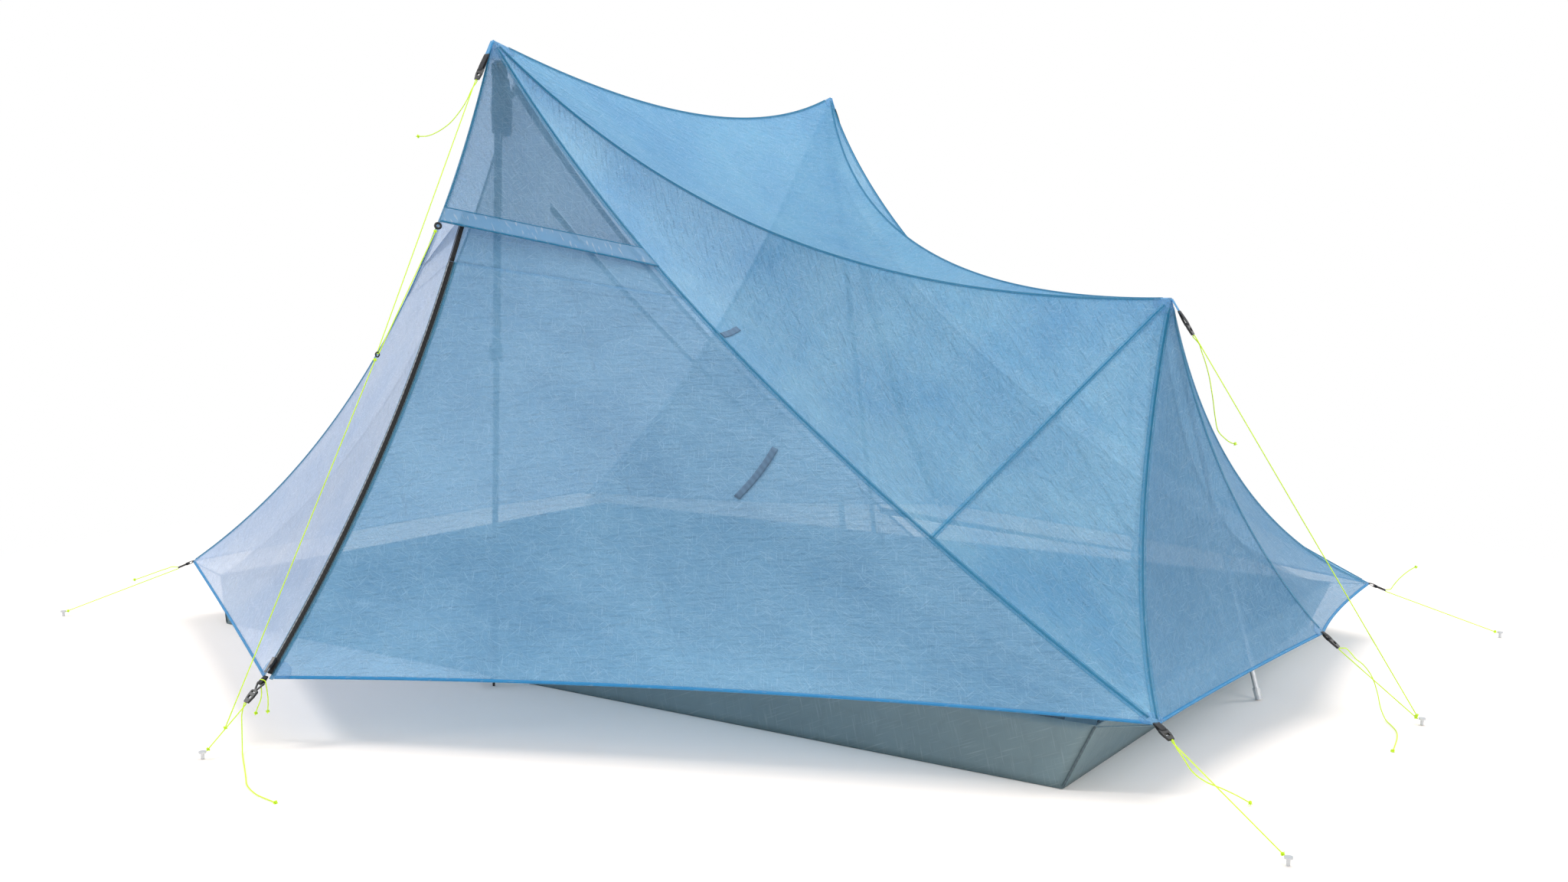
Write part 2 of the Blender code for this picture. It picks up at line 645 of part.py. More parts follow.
def fixed_panels():
    near, far = LINES[NEAR], LINES[FAR]
    inset = {"left": SEAM_INSET, "right": SEAM_INSET}
    roof = coons(near["crown"], lambda u: near["foot_peak"], near["ridge"], far["ridge"])
    tip = up_to(near["foot_peak"], FOOT_PEAK_PATCH, near["ridge"])
    rows = grid_points(roof, SEAM_NODES, [*DOOR_NODES[:-1], tip], {**inset, "bottom": SEAM_INSET})
    sheet("roof_panel", [rows], "fly", [CUTS[NEAR]["peak"], CUTS[FAR]["peak"], FOOT_PEAK_CUT])

    head_hem = sagged(near["head_corner"], far["head_corner"], HEAD_HEM_SAG)
    head = coons(head_hem, near["crown"], stretch(near["head_seam"], 1, 0), stretch(far["head_seam"], 1, 0))
    rows = grid_points(head, SEAM_NODES, reversed_nodes(HEAD_NODES), {**inset, "top": SEAM_INSET})
    cutters = [CUTS[side][key] for side in (NEAR, FAR) for key in ("peak", "head")]
    sheet("head_panel", [rows], "fly", cutters)

    for side, p in LINES.items():
        who, cuts = SIDE_NAMES[side], CUTS[side]
        edges = [stretch(p["door_seam"], 1, 0), stretch(p["ridge"], 1, 0)]
        wall = coons(stretch(p["foot_seam"], 1, 0), lambda u, p=p: p["peak"], *edges)
        vs = [*reversed_nodes(DOOR_NODES)[:-1], up_to(p["peak"], PEAK_PATCH, *edges)]
        rows = grid_points(wall, SEAM_NODES, vs, {**inset, "bottom": SEAM_INSET})
        sheet(f"{who}_side_wall", [rows], "fly", [cuts["peak"], cuts["foot"], FOOT_PEAK_CUT])

        edges = [stretch(p["foot_crease"], 1, 0), stretch(p["foot_seam"], 1, 0)]
        foot = coons(p["foot_hem"], lambda u, p=p: p["foot_peak"], *edges)
        vs = [*SEAM_NODES[:-1], up_to(p["foot_peak"], FOOT_PEAK_PATCH, *edges)]
        rows = grid_points(foot, even(ACROSS - 2), vs, inset)
        sheet(f"{who}_foot_panel", [rows], "fly", [FOOT_PEAK_CUT, FOOT_CENTRE_CUT, cuts["foot"]])

        left, right = stretch(p["door_seam"], HOOD_FOOT_SHARE, 0), stretch(p["head_seam"], HOOD_HEAD_SHARE, 0)
        middle = stretch(p["hood_ridge"], 1, 0)
        vs = [*even(HOOD_STEPS)[:-1], up_to(p["peak"], PEAK_PATCH, left, middle, right)]
        foot_hem = straight(p["hood_foot"], p["hood_corner"])
        head_hem = straight(p["hood_corner"], p["hood_head"])
        foot_wing = coons(foot_hem, lambda u, p=p: p["peak"], left, middle)
        head_wing = coons(head_hem, lambda u, p=p: p["peak"], middle, right)
        wings = [
            grid_points(foot_wing, even(ACROSS - 3), vs, {"left": SEAM_INSET}),
            grid_points(head_wing, even(ACROSS - 5), vs, {"right": SEAM_INSET}),
        ]
        sheet(f"{who}_vent_hood", wings, "fly", [cuts["peak"]])


def door_surfaces(p):
    foot = coons(
        p["door_hem"],
        straight(p["zip_top"], p["hood_foot"]),
        p["zip_line"],
        stretch(p["door_seam"], 1, HOOD_FOOT_SHARE),
    )
    head = coons(
        p["head_door_hem"],
        straight(p["zip_top"], p["hood_head"]),
        p["zip_line"],
        stretch(p["head_seam"], 1, HOOD_HEAD_SHARE),
    )
    return {"foot": foot, "head": head}


def tape_rows(surface, vs, near_edge, far_edge):
    """The strip of a door's surface between two distances from the zip's line."""
    rows = []
    small = 1 / 50
    for v in vs:
        tangent = (surface(0, v + small) - surface(0, v - small)).normalized()
        inward = surface(small, v) - surface(0, v)
        inward = (inward - inward.dot(tangent) * tangent).normalized()
        rows.append([surface(0, v) + inward * d for d in (near_edge, far_edge)])
    return rows


def fold_shares(surface, fold_in):
    """Where the door's straight fold crosses the rows of its surface, from the hem to its top."""
    vs = [*even(DOOR_STEPS)[:-1], DOOR_TOP_SHARE]

    def inside(v):
        width = (surface(1, v) - surface(1 - 1 / ACROSS, v)).length * ACROSS
        return surface(1 - fold_in / width, v)

    low, high = inside(0), inside(DOOR_TOP_SHARE)
    way = (high - low).normalized()

    def away(u, v):
        offset = surface(u, v) - low
        return (offset - offset.dot(way) * way).length

    steps = 1000
    tries = even(steps, FOLD_FROM_SHARE, 1.0)
    return vs, [min(tries, key=lambda u, v=v: away(u, v)) for v in vs]


def at_distance(surface, u, v, distance):
    """The share a little way along a row, measured in metres."""
    small = 1 / 200
    return u + distance * small / (surface(u + small / 2, v) - surface(u - small / 2, v)).length


def doors():
    margins = []
    for side, p in LINES.items():
        who = SIDE_NAMES[side]
        grids = []
        slide = slider(side, p)
        for part, surface in door_surfaces(p).items():
            vs, folds = fold_shares(surface, FOOT_FOLD_IN if part == "foot" else HEAD_FOLD_IN)
            panel, strip = [], []
            for v, fold in zip(vs, folds):
                first = inset_shares(surface, 0.0, v, 1, 0, TAPE_WIDTH)
                last = at_distance(surface, fold, v, -FOLD_GAP)
                panel.append([surface(u, v) for u in even(ACROSS, first, last)])
                start = at_distance(surface, fold, v, FOLD_GAP)
                strip.append([surface(u, v) for u in even(2, start, 1.0)])
            moving = [sheet(f"{who}_{part}_door", [panel], "fly")]
            grids += [strip, band_rows(surface, folds[-1])]

            low, reach = FOOT_TAPE_SHARE, COIL_RADIUS / 2
            if part == "head":
                low, reach = HEAD_TAPE_SHARE, COIL_RADIUS + GAP
            tape = tape_rows(surface, [low, *vs[1:]], reach, TAPE_WIDTH - GAP)
            pieces = [sheet(f"{who}_{part}_zip", [tape], "webbing")]
            if part == "foot":
                pieces.append(fuse(f"{who}_foot_zip", [*pieces, coil(p), door_tab(p)], "webbing"))
                moving.append(slide)
            low, high = surface(folds[0], vs[0]), surface(folds[-1], vs[-1])
            opening = side if part == "foot" else -side
            joint(f"{who}_{part}_door_hinge", low, opening * (high - low), *moving, pieces[-1])
        margins.append(sheet(f"{who}_margin", grids, "fly"))
    return margins


def band_rows(surface, fold):
    """The fixed cloth above a door, whose lower edge ends in the margin beside the door."""
    height = (surface(0, 1) - surface(0, 0)).length
    start = at_distance(surface, fold, DOOR_TOP_SHARE, FOLD_GAP)
    us = [*even(ACROSS - 3, 0.0, fold), start, (start + 1) / 2, 1.0]
    rows = []
    for share in (0.0, 1 / 3, 2 / 3, 1.0):
        row = []
        for u in us:
            low = DOOR_TOP_SHARE + (BAND_GAP / height if u < start else 0.0)
            top = BAND_TOP_SHARE - (BAND_TOP_SHARE - BAND_SIDE_SHARE) * u**2
            row.append(surface(u, low + (top - low) * share))
        rows.append(row)
    return rows


def coil(p):
    line = stretch(p["zip_line"], FOOT_TAPE_SHARE, DOOR_TOP_SHARE)
    return tube("coil", [line(t) for t in even(2 * ALONG)], COIL_RADIUS, "black_plastic", 1)


def guy_direction(corner, stake, side):
    return (Vector((stake[0], stake[1] * side, 0.0)) - corner).normalized()


def apex_frame(p):
    side = p["side"]
    return frame_at(p["apex"], guy_direction(p["apex"], APEX_STAKE, side), Vector((0.0, -side, 1.0)))


def door_tab(p):
    reach = (p["zip_line"](FOOT_TAPE_SHARE) - p["apex"]).length + COIL_RADIUS
    size = (DOOR_TAB_LENGTH + reach, DOOR_TAB_WIDTH, WEB_THICK)
    return block("tab", size, ((DOOR_TAB_LENGTH - reach) / 2, 0.0, 0.0), "webbing", apex_frame(p))


def slider(side, p):
    who = SIDE_NAMES[side]
    length = (p["zip_top"] - p["apex"]).length
    at = p["zip_line"]((SLIDER_RISE + SLIDER_LENGTH / 2) / length)
    out = (p["zip_hub"] - at).normalized()
    up = Vector((side, 0.0, 0.0)).cross(at - p["zip_hub"]).normalized()
    frame = frame_at(at, up, out)
    across = -1 if frame.col[1].x < 0 else 1
    sideways = across * (SLIDER_WIDTH / 2 - COIL_RADIUS)
    rise = COIL_RADIUS + GAP + SLIDER_HEIGHT / 2
    body = block(
        "body", (SLIDER_LENGTH, SLIDER_WIDTH, SLIDER_HEIGHT), (0.0, sideways, rise), "black_plastic", frame
    )
    edge = body.modifiers.new("edge", "BEVEL")
    edge.width = SLIDER_HEIGHT / 5
    edge.segments = 1
    pull_at = frame @ Vector((-SLIDER_LENGTH / 4, sideways, rise + SLIDER_HEIGHT / 2 + PULL_THICK / 4))
    hole = PULL_WIDTH / 5
    eye = rectangle(3 * hole - PULL_LENGTH, hole - PULL_LENGTH, hole)
    pull = outline(
        "pull",
        [rectangle(-PULL_LENGTH, 0.0, PULL_WIDTH / 2), eye],
        PULL_THICK,
        "black_plastic",
        frame_at(pull_at, up, out),
    )
    made = fuse(f"{who}_zip_slider", [body, pull], "black_plastic")
    return joint(f"{who}_zip_slide", p["zip_hub"], Vector((side, 0.0, 0.0)), made)


def seam_tubes():
    near = LINES[NEAR]
    routes = [
        (near["crown"], SEAM_NODES, PEAK_PATCH, PEAK_PATCH),
        (near["foot_crease"], SEAM_NODES, FOOT_PEAK_PATCH, CORNER_PATCH),
    ]
    for p in LINES.values():
        routes += [
            (p["door_seam"], DOOR_NODES, PEAK_PATCH, CORNER_PATCH),
            (p["head_seam"], HEAD_NODES, PEAK_PATCH, CORNER_PATCH),
            (p["ridge"], DOOR_NODES, PEAK_PATCH, FOOT_PEAK_PATCH),
            (p["foot_seam"], SEAM_NODES, FOOT_PEAK_PATCH, CORNER_PATCH),
        ]
    return [tube("seam", rooted_route(*route), SEAM_RADIUS, "seam", 1) for route in routes]


def patches():
    near = LINES[NEAR]
    made = []
    for side, p in LINES.items():
        guy = guy_direction(p["peak"], APEX_STAKE, side)
        ways = [leaving(p[key]) for key in ("door_seam", "head_seam", "ridge", "crown", "hood_ridge")]
        made.append(corner_patch("peak_patch", p["peak"], PEAK_PATCH, [*ways, guy]))
        ways = [leaving(p[key], True) for key in ("door_seam", "foot_seam", "door_hem", "foot_hem")]
        made.append(corner_patch("foot_patch", p["foot_corner"], CORNER_PATCH, ways))
        head_hem = sagged(p["head_corner"], LINES[-side]["head_corner"], HEAD_HEM_SAG)
        ways = [leaving(p["head_seam"], True), leaving(p["head_door_hem"], True), leaving(head_hem)]
        made.append(corner_patch("head_patch", p["head_corner"], CORNER_PATCH, ways))
    ways = [leaving(p[key]) for p in LINES.values() for key in ("ridge", "foot_seam")]
    ways += [leaving(near["foot_crease"]), guy_direction(near["foot_peak"], CENTRE_STAKE, NEAR)]
    made.append(corner_patch("foot_peak_patch", near["foot_peak"], FOOT_PEAK_PATCH, ways))
    ways = [leaving(near["foot_crease"], True), leaving(near["foot_hem"]), leaving(LINES[FAR]["foot_hem"])]
    made.append(corner_patch("centre_patch", near["foot_centre"], CORNER_PATCH, ways))
    return made


def rigs():
    """Each tie-out's name with its frame along the guyline and its patch and webbing lengths."""
    up, rows = (0.0, 0.0, 1.0), []
    for side, p in LINES.items():
        who = SIDE_NAMES[side]
        rows += [
            (f"{who}_peak", p["peak"], APEX_STAKE, side, (0.0, -side, 0.0), PEAK_PATCH, PEAK_WEB),
            (f"{who}_foot", p["foot_corner"], CORNER_STAKE, side, up, CORNER_ROOT, CORNER_WEB),
            (f"{who}_head", p["head_corner"], HEAD_STAKE, side, up, CORNER_ROOT, CORNER_WEB),
        ]
    near = LINES[NEAR]
    rows += [
        ("foot_peak", near["foot_peak"], CENTRE_STAKE, NEAR, (1.0, 0.0, 0.0), FOOT_PEAK_PATCH, FOOT_PEAK_WEB),
        ("foot_centre", near["foot_centre"], CENTRE_STAKE, NEAR, up, CORNER_ROOT, CORNER_WEB),
    ]
    made = {}
    for name, corner, stake_at, side, outward, start, web in rows:
        frame = frame_at(corner, guy_direction(corner, stake_at, side), Vector(outward))
        made[name] = (frame, start, web)
    return made


def canopy_seams(margins):
    """The sewn net that the panels hang in: seams, corner patches, webbing and the doors' margins."""
    webs = []
    for frame, start, web in rigs().values():
        size = (web + WEB_ROOT, WEB_WIDTH, WEB_THICK)
        webs.append(block("web", size, (start + (web - WEB_ROOT) / 2, 0.0, 0.0), "webbing", frame))
    fuse("canopy_seams", [*patches(), *seam_tubes(), *margins, *webs, *floor_ties()], "seam")


def floor_ties():
    """Webbing from the canopy's corners to the corners of the floor."""
    _, rim = tub_corners()
    ties = []
    for side, p in LINES.items():
        for corner, (x, y) in ((p["head_corner"], rim[0]), (p["foot_corner"], rim[1])):
            way = Vector((x, y * side, TUB_WALL - 2 * WEB_THICK)) - corner
            length = way.length - CLOTH - 3 * GAP
            frame = frame_at(corner, way, Vector((0.0, 0.0, 1.0)))
            size = (length, WEB_WIDTH, WEB_THICK)
            ties.append(block("tie", size, (length / 2, 0.0, 0.0), "webbing", frame))
    return ties


def tensioners():
    """The tensioners that the photograph shows, and where each guyline leaves its own."""
    exits = {}
    for name, (frame, start, web) in rigs().items():
        if name in ("far_peak", "far_head"):
            continue
        x = start + web + GAP
        tensioner(f"{name}_tensioner", frame, x)
        exits[name] = (frame, x + BUCKLE_LENGTH)
    frame = apex_frame(LINES[NEAR])
    start = DOOR_TAB_LENGTH + GAP
    apex_ring(frame, start)
    x = start + APEX_RING_LENGTH + GAP
    tensioner("near_apex_tensioner", frame, x)
    exits["near_apex"] = (frame, x + BUCKLE_LENGTH)
    return exits


def tensioner(name, frame, start):
    """A cord tensioner: a flat buckle with a webbing slot and a cord slot."""
    half, nose, cut = BUCKLE_WIDTH / 2, BUCKLE_NOSE / 2, BUCKLE_CHAMFER
    end = start + BUCKLE_LENGTH
    body = [
        (start, half - cut),
        (start + cut, half),
        (start + BUCKLE_LENGTH / 2, half),
        (end, nose),
        (end, -nose),
        (start + BUCKLE_LENGTH / 2, -half),
        (start + cut, -half),
        (start, cut - half),
    ]
    web = start + BUCKLE_BAR
    line = web + BUCKLE_SLOT + 2 * BUCKLE_BAR
    slots = [
        rectangle(web, web + BUCKLE_SLOT, half - BUCKLE_BAR),
        rectangle(line, line + 2 * BUCKLE_SLOT, nose - BUCKLE_BAR / 2),
    ]
    return outline(name, [body, *slots], BUCKLE_THICK, "black_plastic", frame)


def apex_ring(frame, start):
    wire, end = APEX_RING_WIRE, start + APEX_RING_LENGTH
    half = APEX_RING_WIDTH / 2
    outer = [(start, -half), (start + 2 * wire, -half), (end, -2 * wire), (end, 2 * wire)]
    outer += [(start + 2 * wire, half), (start, half)]
    hole = [(start + 2 * wire, 2 * wire - half), (end - 2 * wire, -wire), (end - 2 * wire, wire)]
    hole += [(start + 2 * wire, half - 2 * wire)]
    return outline("near_apex_ring", [outer, hole], 2 * wire, "black_plastic", frame)


def guy_ring_centre():
    return Vector((PEAK_X + CORD_RADIUS * 5, PEAK_Y - GUY_RING_OUT, PEAK_Z - GUY_RING_DROP))


def hood_ring_centre(p):
    down = (p["hood_corner"] - p["hood_ridge"](1 - PATCH_REACH_SHARE / 100)).normalized()
    return p["hood_corner"] + down * (HOOD_RING_RADIUS + HOOD_RING_WIRE + CLOTH / 2 + GAP), down


def rings():
    p = LINES[NEAR]
    centre, down = hood_ring_centre(p)
    facing = Vector((1.0, -1.0, 0.0))
    normal = (facing - facing.dot(down) * down).normalized()
    ring("near_hood_ring", centre, normal, HOOD_RING_RADIUS, HOOD_RING_WIRE, "black_plastic")
    across = Vector((1.0, 0.0, 0.0))
    ring("guy_ring", guy_ring_centre(), across, GUY_RING_RADIUS, GUY_RING_WIRE, "black_plastic")


def stake(name, place):
    head = STAKE_STAND + STAKE_HEAD_THICK
    profile = [(0, head), (STAKE_HEAD, head), (STAKE_HEAD, STAKE_STAND), (STAKE_SHAFT, STAKE_STAND)]
    profile += [(STAKE_SHAFT, 0), (0, 0)]
    return turned(name, profile, "steel", Matrix.Translation((*place, 0.0)), 12)


def hairpin(frame, x, way):
    """The turn of a cord at its tensioner, from its free end's side to the side of its line."""
    centre = x + GAP + CORD_RADIUS + CORD_SPREAD
    angles = even(4, -math.pi / 2, math.pi / 2)
    turns = [(CORD_SPREAD * math.cos(a), CORD_SPREAD * math.sin(a)) for a in angles]
    return [frame @ Vector((centre - x, 0.0, way * z)) for x, z in turns]


def toward(start, end, cut):
    return end - (end - start).normalized() * cut


def guylines(exits):
    def line(name, tail, place, way=-1, lift=0.0):
        turn = hairpin(*exits[name], way)
        level = Vector((place[0] - turn[-1].x, place[1] - turn[-1].y, 0.0)).normalized()
        height = STAKE_STAND + STAKE_HEAD_THICK / 2 + lift
        end = Vector((*place, height)) - level * (STAKE_HEAD + GAP + CORD_RADIUS)
        return [*smooth_route(tail)[::-1], *turn, end]

    near = LINES[NEAR]
    centre = guy_ring_centre()
    hood_ring, _ = hood_ring_centre(near)
    turn = hairpin(*exits["near_peak"], 1)
    up = ((turn[-1] - centre).normalized() + (hood_ring - centre).normalized()).normalized()
    wire = centre + up * GUY_RING_RADIUS
    bend = GUY_RING_WIRE + CORD_RADIUS + GAP
    side = Vector((bend, 0.0, 0.0))
    loop = [wire + math.cos(a) * side - bend * math.sin(a) * up for a in even(4, math.pi, 0)]
    hood_end = toward(loop[-1], hood_ring, HOOD_RING_RADIUS + HOOD_RING_WIRE + CORD_RADIUS + GAP)
    tube("near_peak_guyline", [*smooth_route(PEAK_TAIL)[::-1], *turn, *loop, hood_end], CORD_RADIUS, "cord")

    apex_route = line("near_apex", APEX_TAIL, APEX_STAKE)
    join = apex_route[-2].lerp(apex_route[-1], JOIN_SHARE)
    ring_end = toward(join, centre, GUY_RING_RADIUS + GUY_RING_WIRE + CORD_RADIUS + GAP)
    apex_tube = tube("near_apex_guyline", apex_route, CORD_RADIUS, "cord")
    lower_tube = tube("lower_line", [ring_end, join], CORD_RADIUS, "cord")
    bm = bmesh.new()
    bmesh.ops.create_uvsphere(bm, u_segments=8, v_segments=6, radius=KNOT_RADIUS)
    knot = from_bmesh("knot", bm, "cord", Matrix.Translation(join))
    knot.data.shade_smooth()
    fuse("near_apex_guyline", [apex_tube, lower_tube, knot], "cord")

    far_stake = (CORNER_STAKE[0], -CORNER_STAKE[1])
    tube("head_guyline", line("near_head", HEAD_TAIL, HEAD_STAKE), CORD_RADIUS, "cord")
    tube("near_corner_guyline", line("near_foot", CORNER_TAIL, CORNER_STAKE), CORD_RADIUS, "cord")
    tube("far_corner_guyline", line("far_foot", FAR_CORNER_TAIL, far_stake), CORD_RADIUS, "cord")
    low = line("foot_centre", CENTRE_TAIL, CENTRE_STAKE, -1, -CORD_SPREAD)
    high = line("foot_peak", FOOT_PEAK_TAIL, CENTRE_STAKE, 1, CORD_SPREAD)
    tube("foot_centre_guyline", [*low, *high[::-1]], CORD_RADIUS, "cord")
    pull = tube("zip_pull_cord", smooth_route(PULL_CORD), CORD_RADIUS, "cord")
    carry(bpy.data.objects["near_foot_door_hinge"], pull)
    names = ("head", "apex", "near_corner", "far_corner", "centre")
    for name, place in zip(names, (HEAD_STAKE, APEX_STAKE, CORNER_STAKE, far_stake, CENTRE_STAKE)):
        stake(f"{name}_stake", place)


# The floor and the mesh walls


def tub_corners():
    head = HEAD_CORNER_X + FLOOR_HEAD_INSET
    foot = FOOT_CORNER_X - FLOOR_FOOT_INSET
    half = FLOOR_WIDTH / 2
    base = [(head, -half), (foot, -half), (foot, half), (head, half)]
    leans = [(-TUB_HEAD_LEAN, -1), (TUB_FOOT_LEAN, -1), (TUB_FOOT_LEAN, 1), (-TUB_HEAD_LEAN, 1)]
    rim = [(x + dx, y + way * TUB_SIDE_LEAN) for (x, y), (dx, way) in zip(base, leans)]
    return base, rim


def bathtub():
    base, rim = tub_corners()
    bm = bmesh.new()
    low = [bm.verts.new((x, y, CLOTH / 2)) for x, y in base]
    high = [bm.verts.new((x, y, TUB_WALL)) for x, y in rim]
    bm.faces.new(low)
    for i in range(4):
        j = (i + 1) % 4
        bm.faces.new((low[i], low[j], high[j], high[i]))
    bmesh.ops.recalc_face_normals(bm, faces=bm.faces)
    made = from_bmesh("bathtub_floor", bm, "tub")
    thicken(made)


def mesh_walls():
    _, rim = tub_corners()
    (head_x, rim_y), (foot_x, _) = rim[0], rim[1]
    height = TUB_WALL + CLOTH / 2 + GAP
    post = (PEAK_X - head_x) / (foot_x - head_x)
    left, right = MESH_DOOR_SHARES
    low_v, high_v = MESH_DOOR_LOW_SHARE, MESH_DOOR_HIGH_SHARE
    for side, p in LINES.items():
        who = SIDE_NAMES[side]
        low = straight(Vector((head_x, rim_y * side, height)), Vector((foot_x, rim_y * side, height)))
        reach = share_at(p["door_seam"], foot_x)
        hang = Vector((0.0, MESH_IN * side, -MESH_DROP))

        def high(u, p=p, reach=reach, hang=hang):
            if u < post:
                return p["head_seam"]((1 - u / post) * (1 - MESH_HEAD_SHARE)) + hang
            return p["door_seam"]((u - post) / (1 - post) * reach) + hang

        def wall(u, v, low=low, high=high):
            return low(u).lerp(high(u), v)

        us = [*even(3, 0.0, post), *even(4, left, right), MESH_FOOT_SHARE]
        vs = [0.0, *even(4, low_v, high_v), 1.0]
        rows = [[wall(u, v) for u in us] for v in vs]
        opening = ((4, 8), (1, 5))
        sheet(f"{who}_mesh_wall", [rows], "mesh", [CUTS[side]["mesh"]], opening=opening)
        width, tall = (wall(right, 0) - wall(left, 0)).length, (wall(left, 1) - wall(left, 0)).length
        du, dv = MESH_DOOR_GAP * (right - left) / width, 2 * MESH_DOOR_GAP / tall
        door_us, door_vs = even(4, left + du, right - du), even(4, low_v + dv, high_v - dv)
        door = sheet(f"{who}_mesh_door", [[[wall(u, v) for u in door_us] for v in door_vs]], "mesh")
        hinge_foot = wall(left, 0.0)
        joint(f"{who}_mesh_hinge", hinge_foot, side * (wall(left, 1.0) - hinge_foot), door)

    top = Vector((FOOT_PEAK_X - FOOT_MESH_TOP_IN, 0.0, FOOT_PEAK_Z - FOOT_MESH_TOP_DROP))
    wide = Vector((0.0, FOOT_MESH_TOP_WIDTH, 0.0))
    corners = [Vector((x, y, height)) for x, y in rim[1:3]]
    sag_x, sag_y, sag_z = FOOT_MESH_SAG
    foot_wall = coons(
        straight(corners[0], corners[1]),
        straight(top - wide, top + wide),
        sagged(corners[0], top - wide, (sag_x, sag_y, sag_z)),
        sagged(corners[1], top + wide, (sag_x, -sag_y, sag_z)),
    )
    sheet("foot_mesh_wall", [grid_points(foot_wall, even(ACROSS - 2), even(ALONG - 3), {})], "mesh")


def share_at(curve, x):
    """How far along a line a place along the tent lies."""
    steps = 200
    return next((k / steps for k in range(steps + 1) if curve(k / steps).x > x), 1.0)


# Poles


def pole_frame(foot, top):
    axis = top - foot
    tilt = math.atan2(math.hypot(axis.x, axis.y), axis.z)
    lifted = foot + Vector((0.0, 0.0, TIP_RADIUS * math.sin(tilt)))
    z = (top - lifted).normalized()
    x = Vector((1.0, 0.0, 0.0))
    x = (x - x.dot(z) * z).normalized()
    turn = Matrix((x, z.cross(x), z)).transposed().to_4x4()
    return Matrix.Translation(lifted) @ turn, (top - lifted).length


def main_pole(side):
    who = SIDE_NAMES[side]
    foot = Vector((POLE_FOOT_X, -(FLOOR_WIDTH / 2 + POLE_FOOT_OUT) * side, 0.0))
    top = Vector((PEAK_X + POLE_TOP_X, (PEAK_Y + POLE_TOP_IN) * side, PEAK_Z - POLE_TOP_DROP))
    frame, length = pole_frame(foot, top)
    length -= GAP
    tip = turned(
        f"{who}_pole_tip",
        [
            (0, HOLDER_LENGTH),
            (HOLDER_RADIUS, HOLDER_LENGTH),
            (HOLDER_RADIUS, BASKET_AT + BASKET_THICK),
            (BASKET_RADIUS, BASKET_AT + BASKET_THICK / 2),
            (BASKET_RADIUS, BASKET_AT),
            (HOLDER_RADIUS, BASKET_AT),
            (HOLDER_RADIUS, HOLDER_TAPER),
            (2 * TIP_RADIUS, TIP_LENGTH),
            (TIP_RADIUS, TIP_LENGTH),
            (TIP_RADIUS, 0),
            (0, 0),
        ],
        "black_plastic",
        frame,
    )
    lower = turned(
        f"{who}_pole_lower_tube",
        [
            (0, LOWER_TOP),
            (LOWER_RADIUS, LOWER_TOP),
            (LOWER_RADIUS, HOLDER_LENGTH + GAP),
            (0, HOLDER_LENGTH + GAP),
        ],
        "shaft",
        frame,
    )
    joint(f"{who}_pole_slide", frame.translation, frame.col[2].to_3d(), lower, tip)
    grip_foot = length - GRIP_LENGTH
    upper_top = grip_foot + UPPER_IN_GRIP
    turned(
        f"{who}_pole_upper_tube",
        [
            (UPPER_RADIUS - UPPER_WALL, upper_top),
            (UPPER_RADIUS, upper_top),
            (UPPER_RADIUS, UPPER_FOOT),
            (UPPER_RADIUS - UPPER_WALL, UPPER_FOOT),
        ],
        "shaft",
        frame,
    )
    bore = UPPER_RADIUS + GAP
    turned(
        f"{who}_lock_clamp",
        [
            (bore, UPPER_FOOT + LOCK_HEIGHT),
            (LOCK_RADIUS, UPPER_FOOT + LOCK_HEIGHT),
            (LOCK_RADIUS, UPPER_FOOT),
            (bore, UPPER_FOOT),
        ],
        "black_plastic",
        frame,
    )
    lock_lever(who, side, frame)
    pieces = [grip(who, frame, length, grip_foot, upper_top), strap(side, frame, length)]
    fuse(f"{who}_pole_grip", pieces, "foam")


def lock_lever(who, side, frame):
    inner = LOCK_RADIUS + LEVER_CLEAR
    outer = inner + LEVER_WALL
    low = UPPER_FOOT + (LOCK_HEIGHT - LEVER_HEIGHT) / 2
    high = low + LEVER_HEIGHT
    bm = bmesh.new()
    corners = ((inner, 0, low), (outer, 0, low), (outer, 0, high), (inner, 0, high))
    face = bm.faces.new([bm.verts.new(corner) for corner in corners])
    bmesh.ops.spin(
        bm, geom=[face, *face.edges, *face.verts], axis=(0, 0, 1), cent=(0, 0, 0), angle=LEVER_SPAN, steps=8
    )
    bmesh.ops.recalc_face_normals(bm, faces=bm.faces)
    start = -LEVER_HINGE_TURN if side == NEAR else LEVER_HINGE_TURN - LEVER_SPAN
    lever = from_bmesh(f"{who}_lock_lever", bm, "black_plastic", frame @ Matrix.Rotation(start, 4, "Z"))
    lever.data.shade_smooth()
    lever.data.set_sharp_from_angle(angle=SHARP)
    turn = -side * LEVER_HINGE_TURN
    middle = inner + LEVER_WALL / 2
    pin = Vector((middle * math.cos(turn), middle * math.sin(turn), UPPER_FOOT + LOCK_HEIGHT / 2))
    joint(f"{who}_lever_hinge", frame @ pin, -side * frame.col[2].to_3d(), lever)


def grip(who, frame, length, foot, upper_top):
    bore = UPPER_RADIUS + GAP
    return turned(
        f"{who}_pole_grip",
        [
            (0, length),
            (GRIP_RADIUS / 2, length - GRIP_DOME / 6),
            (GRIP_RADIUS, length - GRIP_DOME),
            (GRIP_RADIUS, length - 2 * GRIP_DOME),
            (GRIP_WAIST, foot + GRIP_LENGTH * 2 / 3),
            (GRIP_RADIUS, foot + GRIP_LENGTH / 3),
            (GRIP_WAIST, foot + GRIP_DOME),
            (GRIP_WAIST, foot),
            (bore, foot),
            (bore, upper_top + GAP),
            (0, upper_top + GAP),
        ],
        "foam",
        frame,
    )


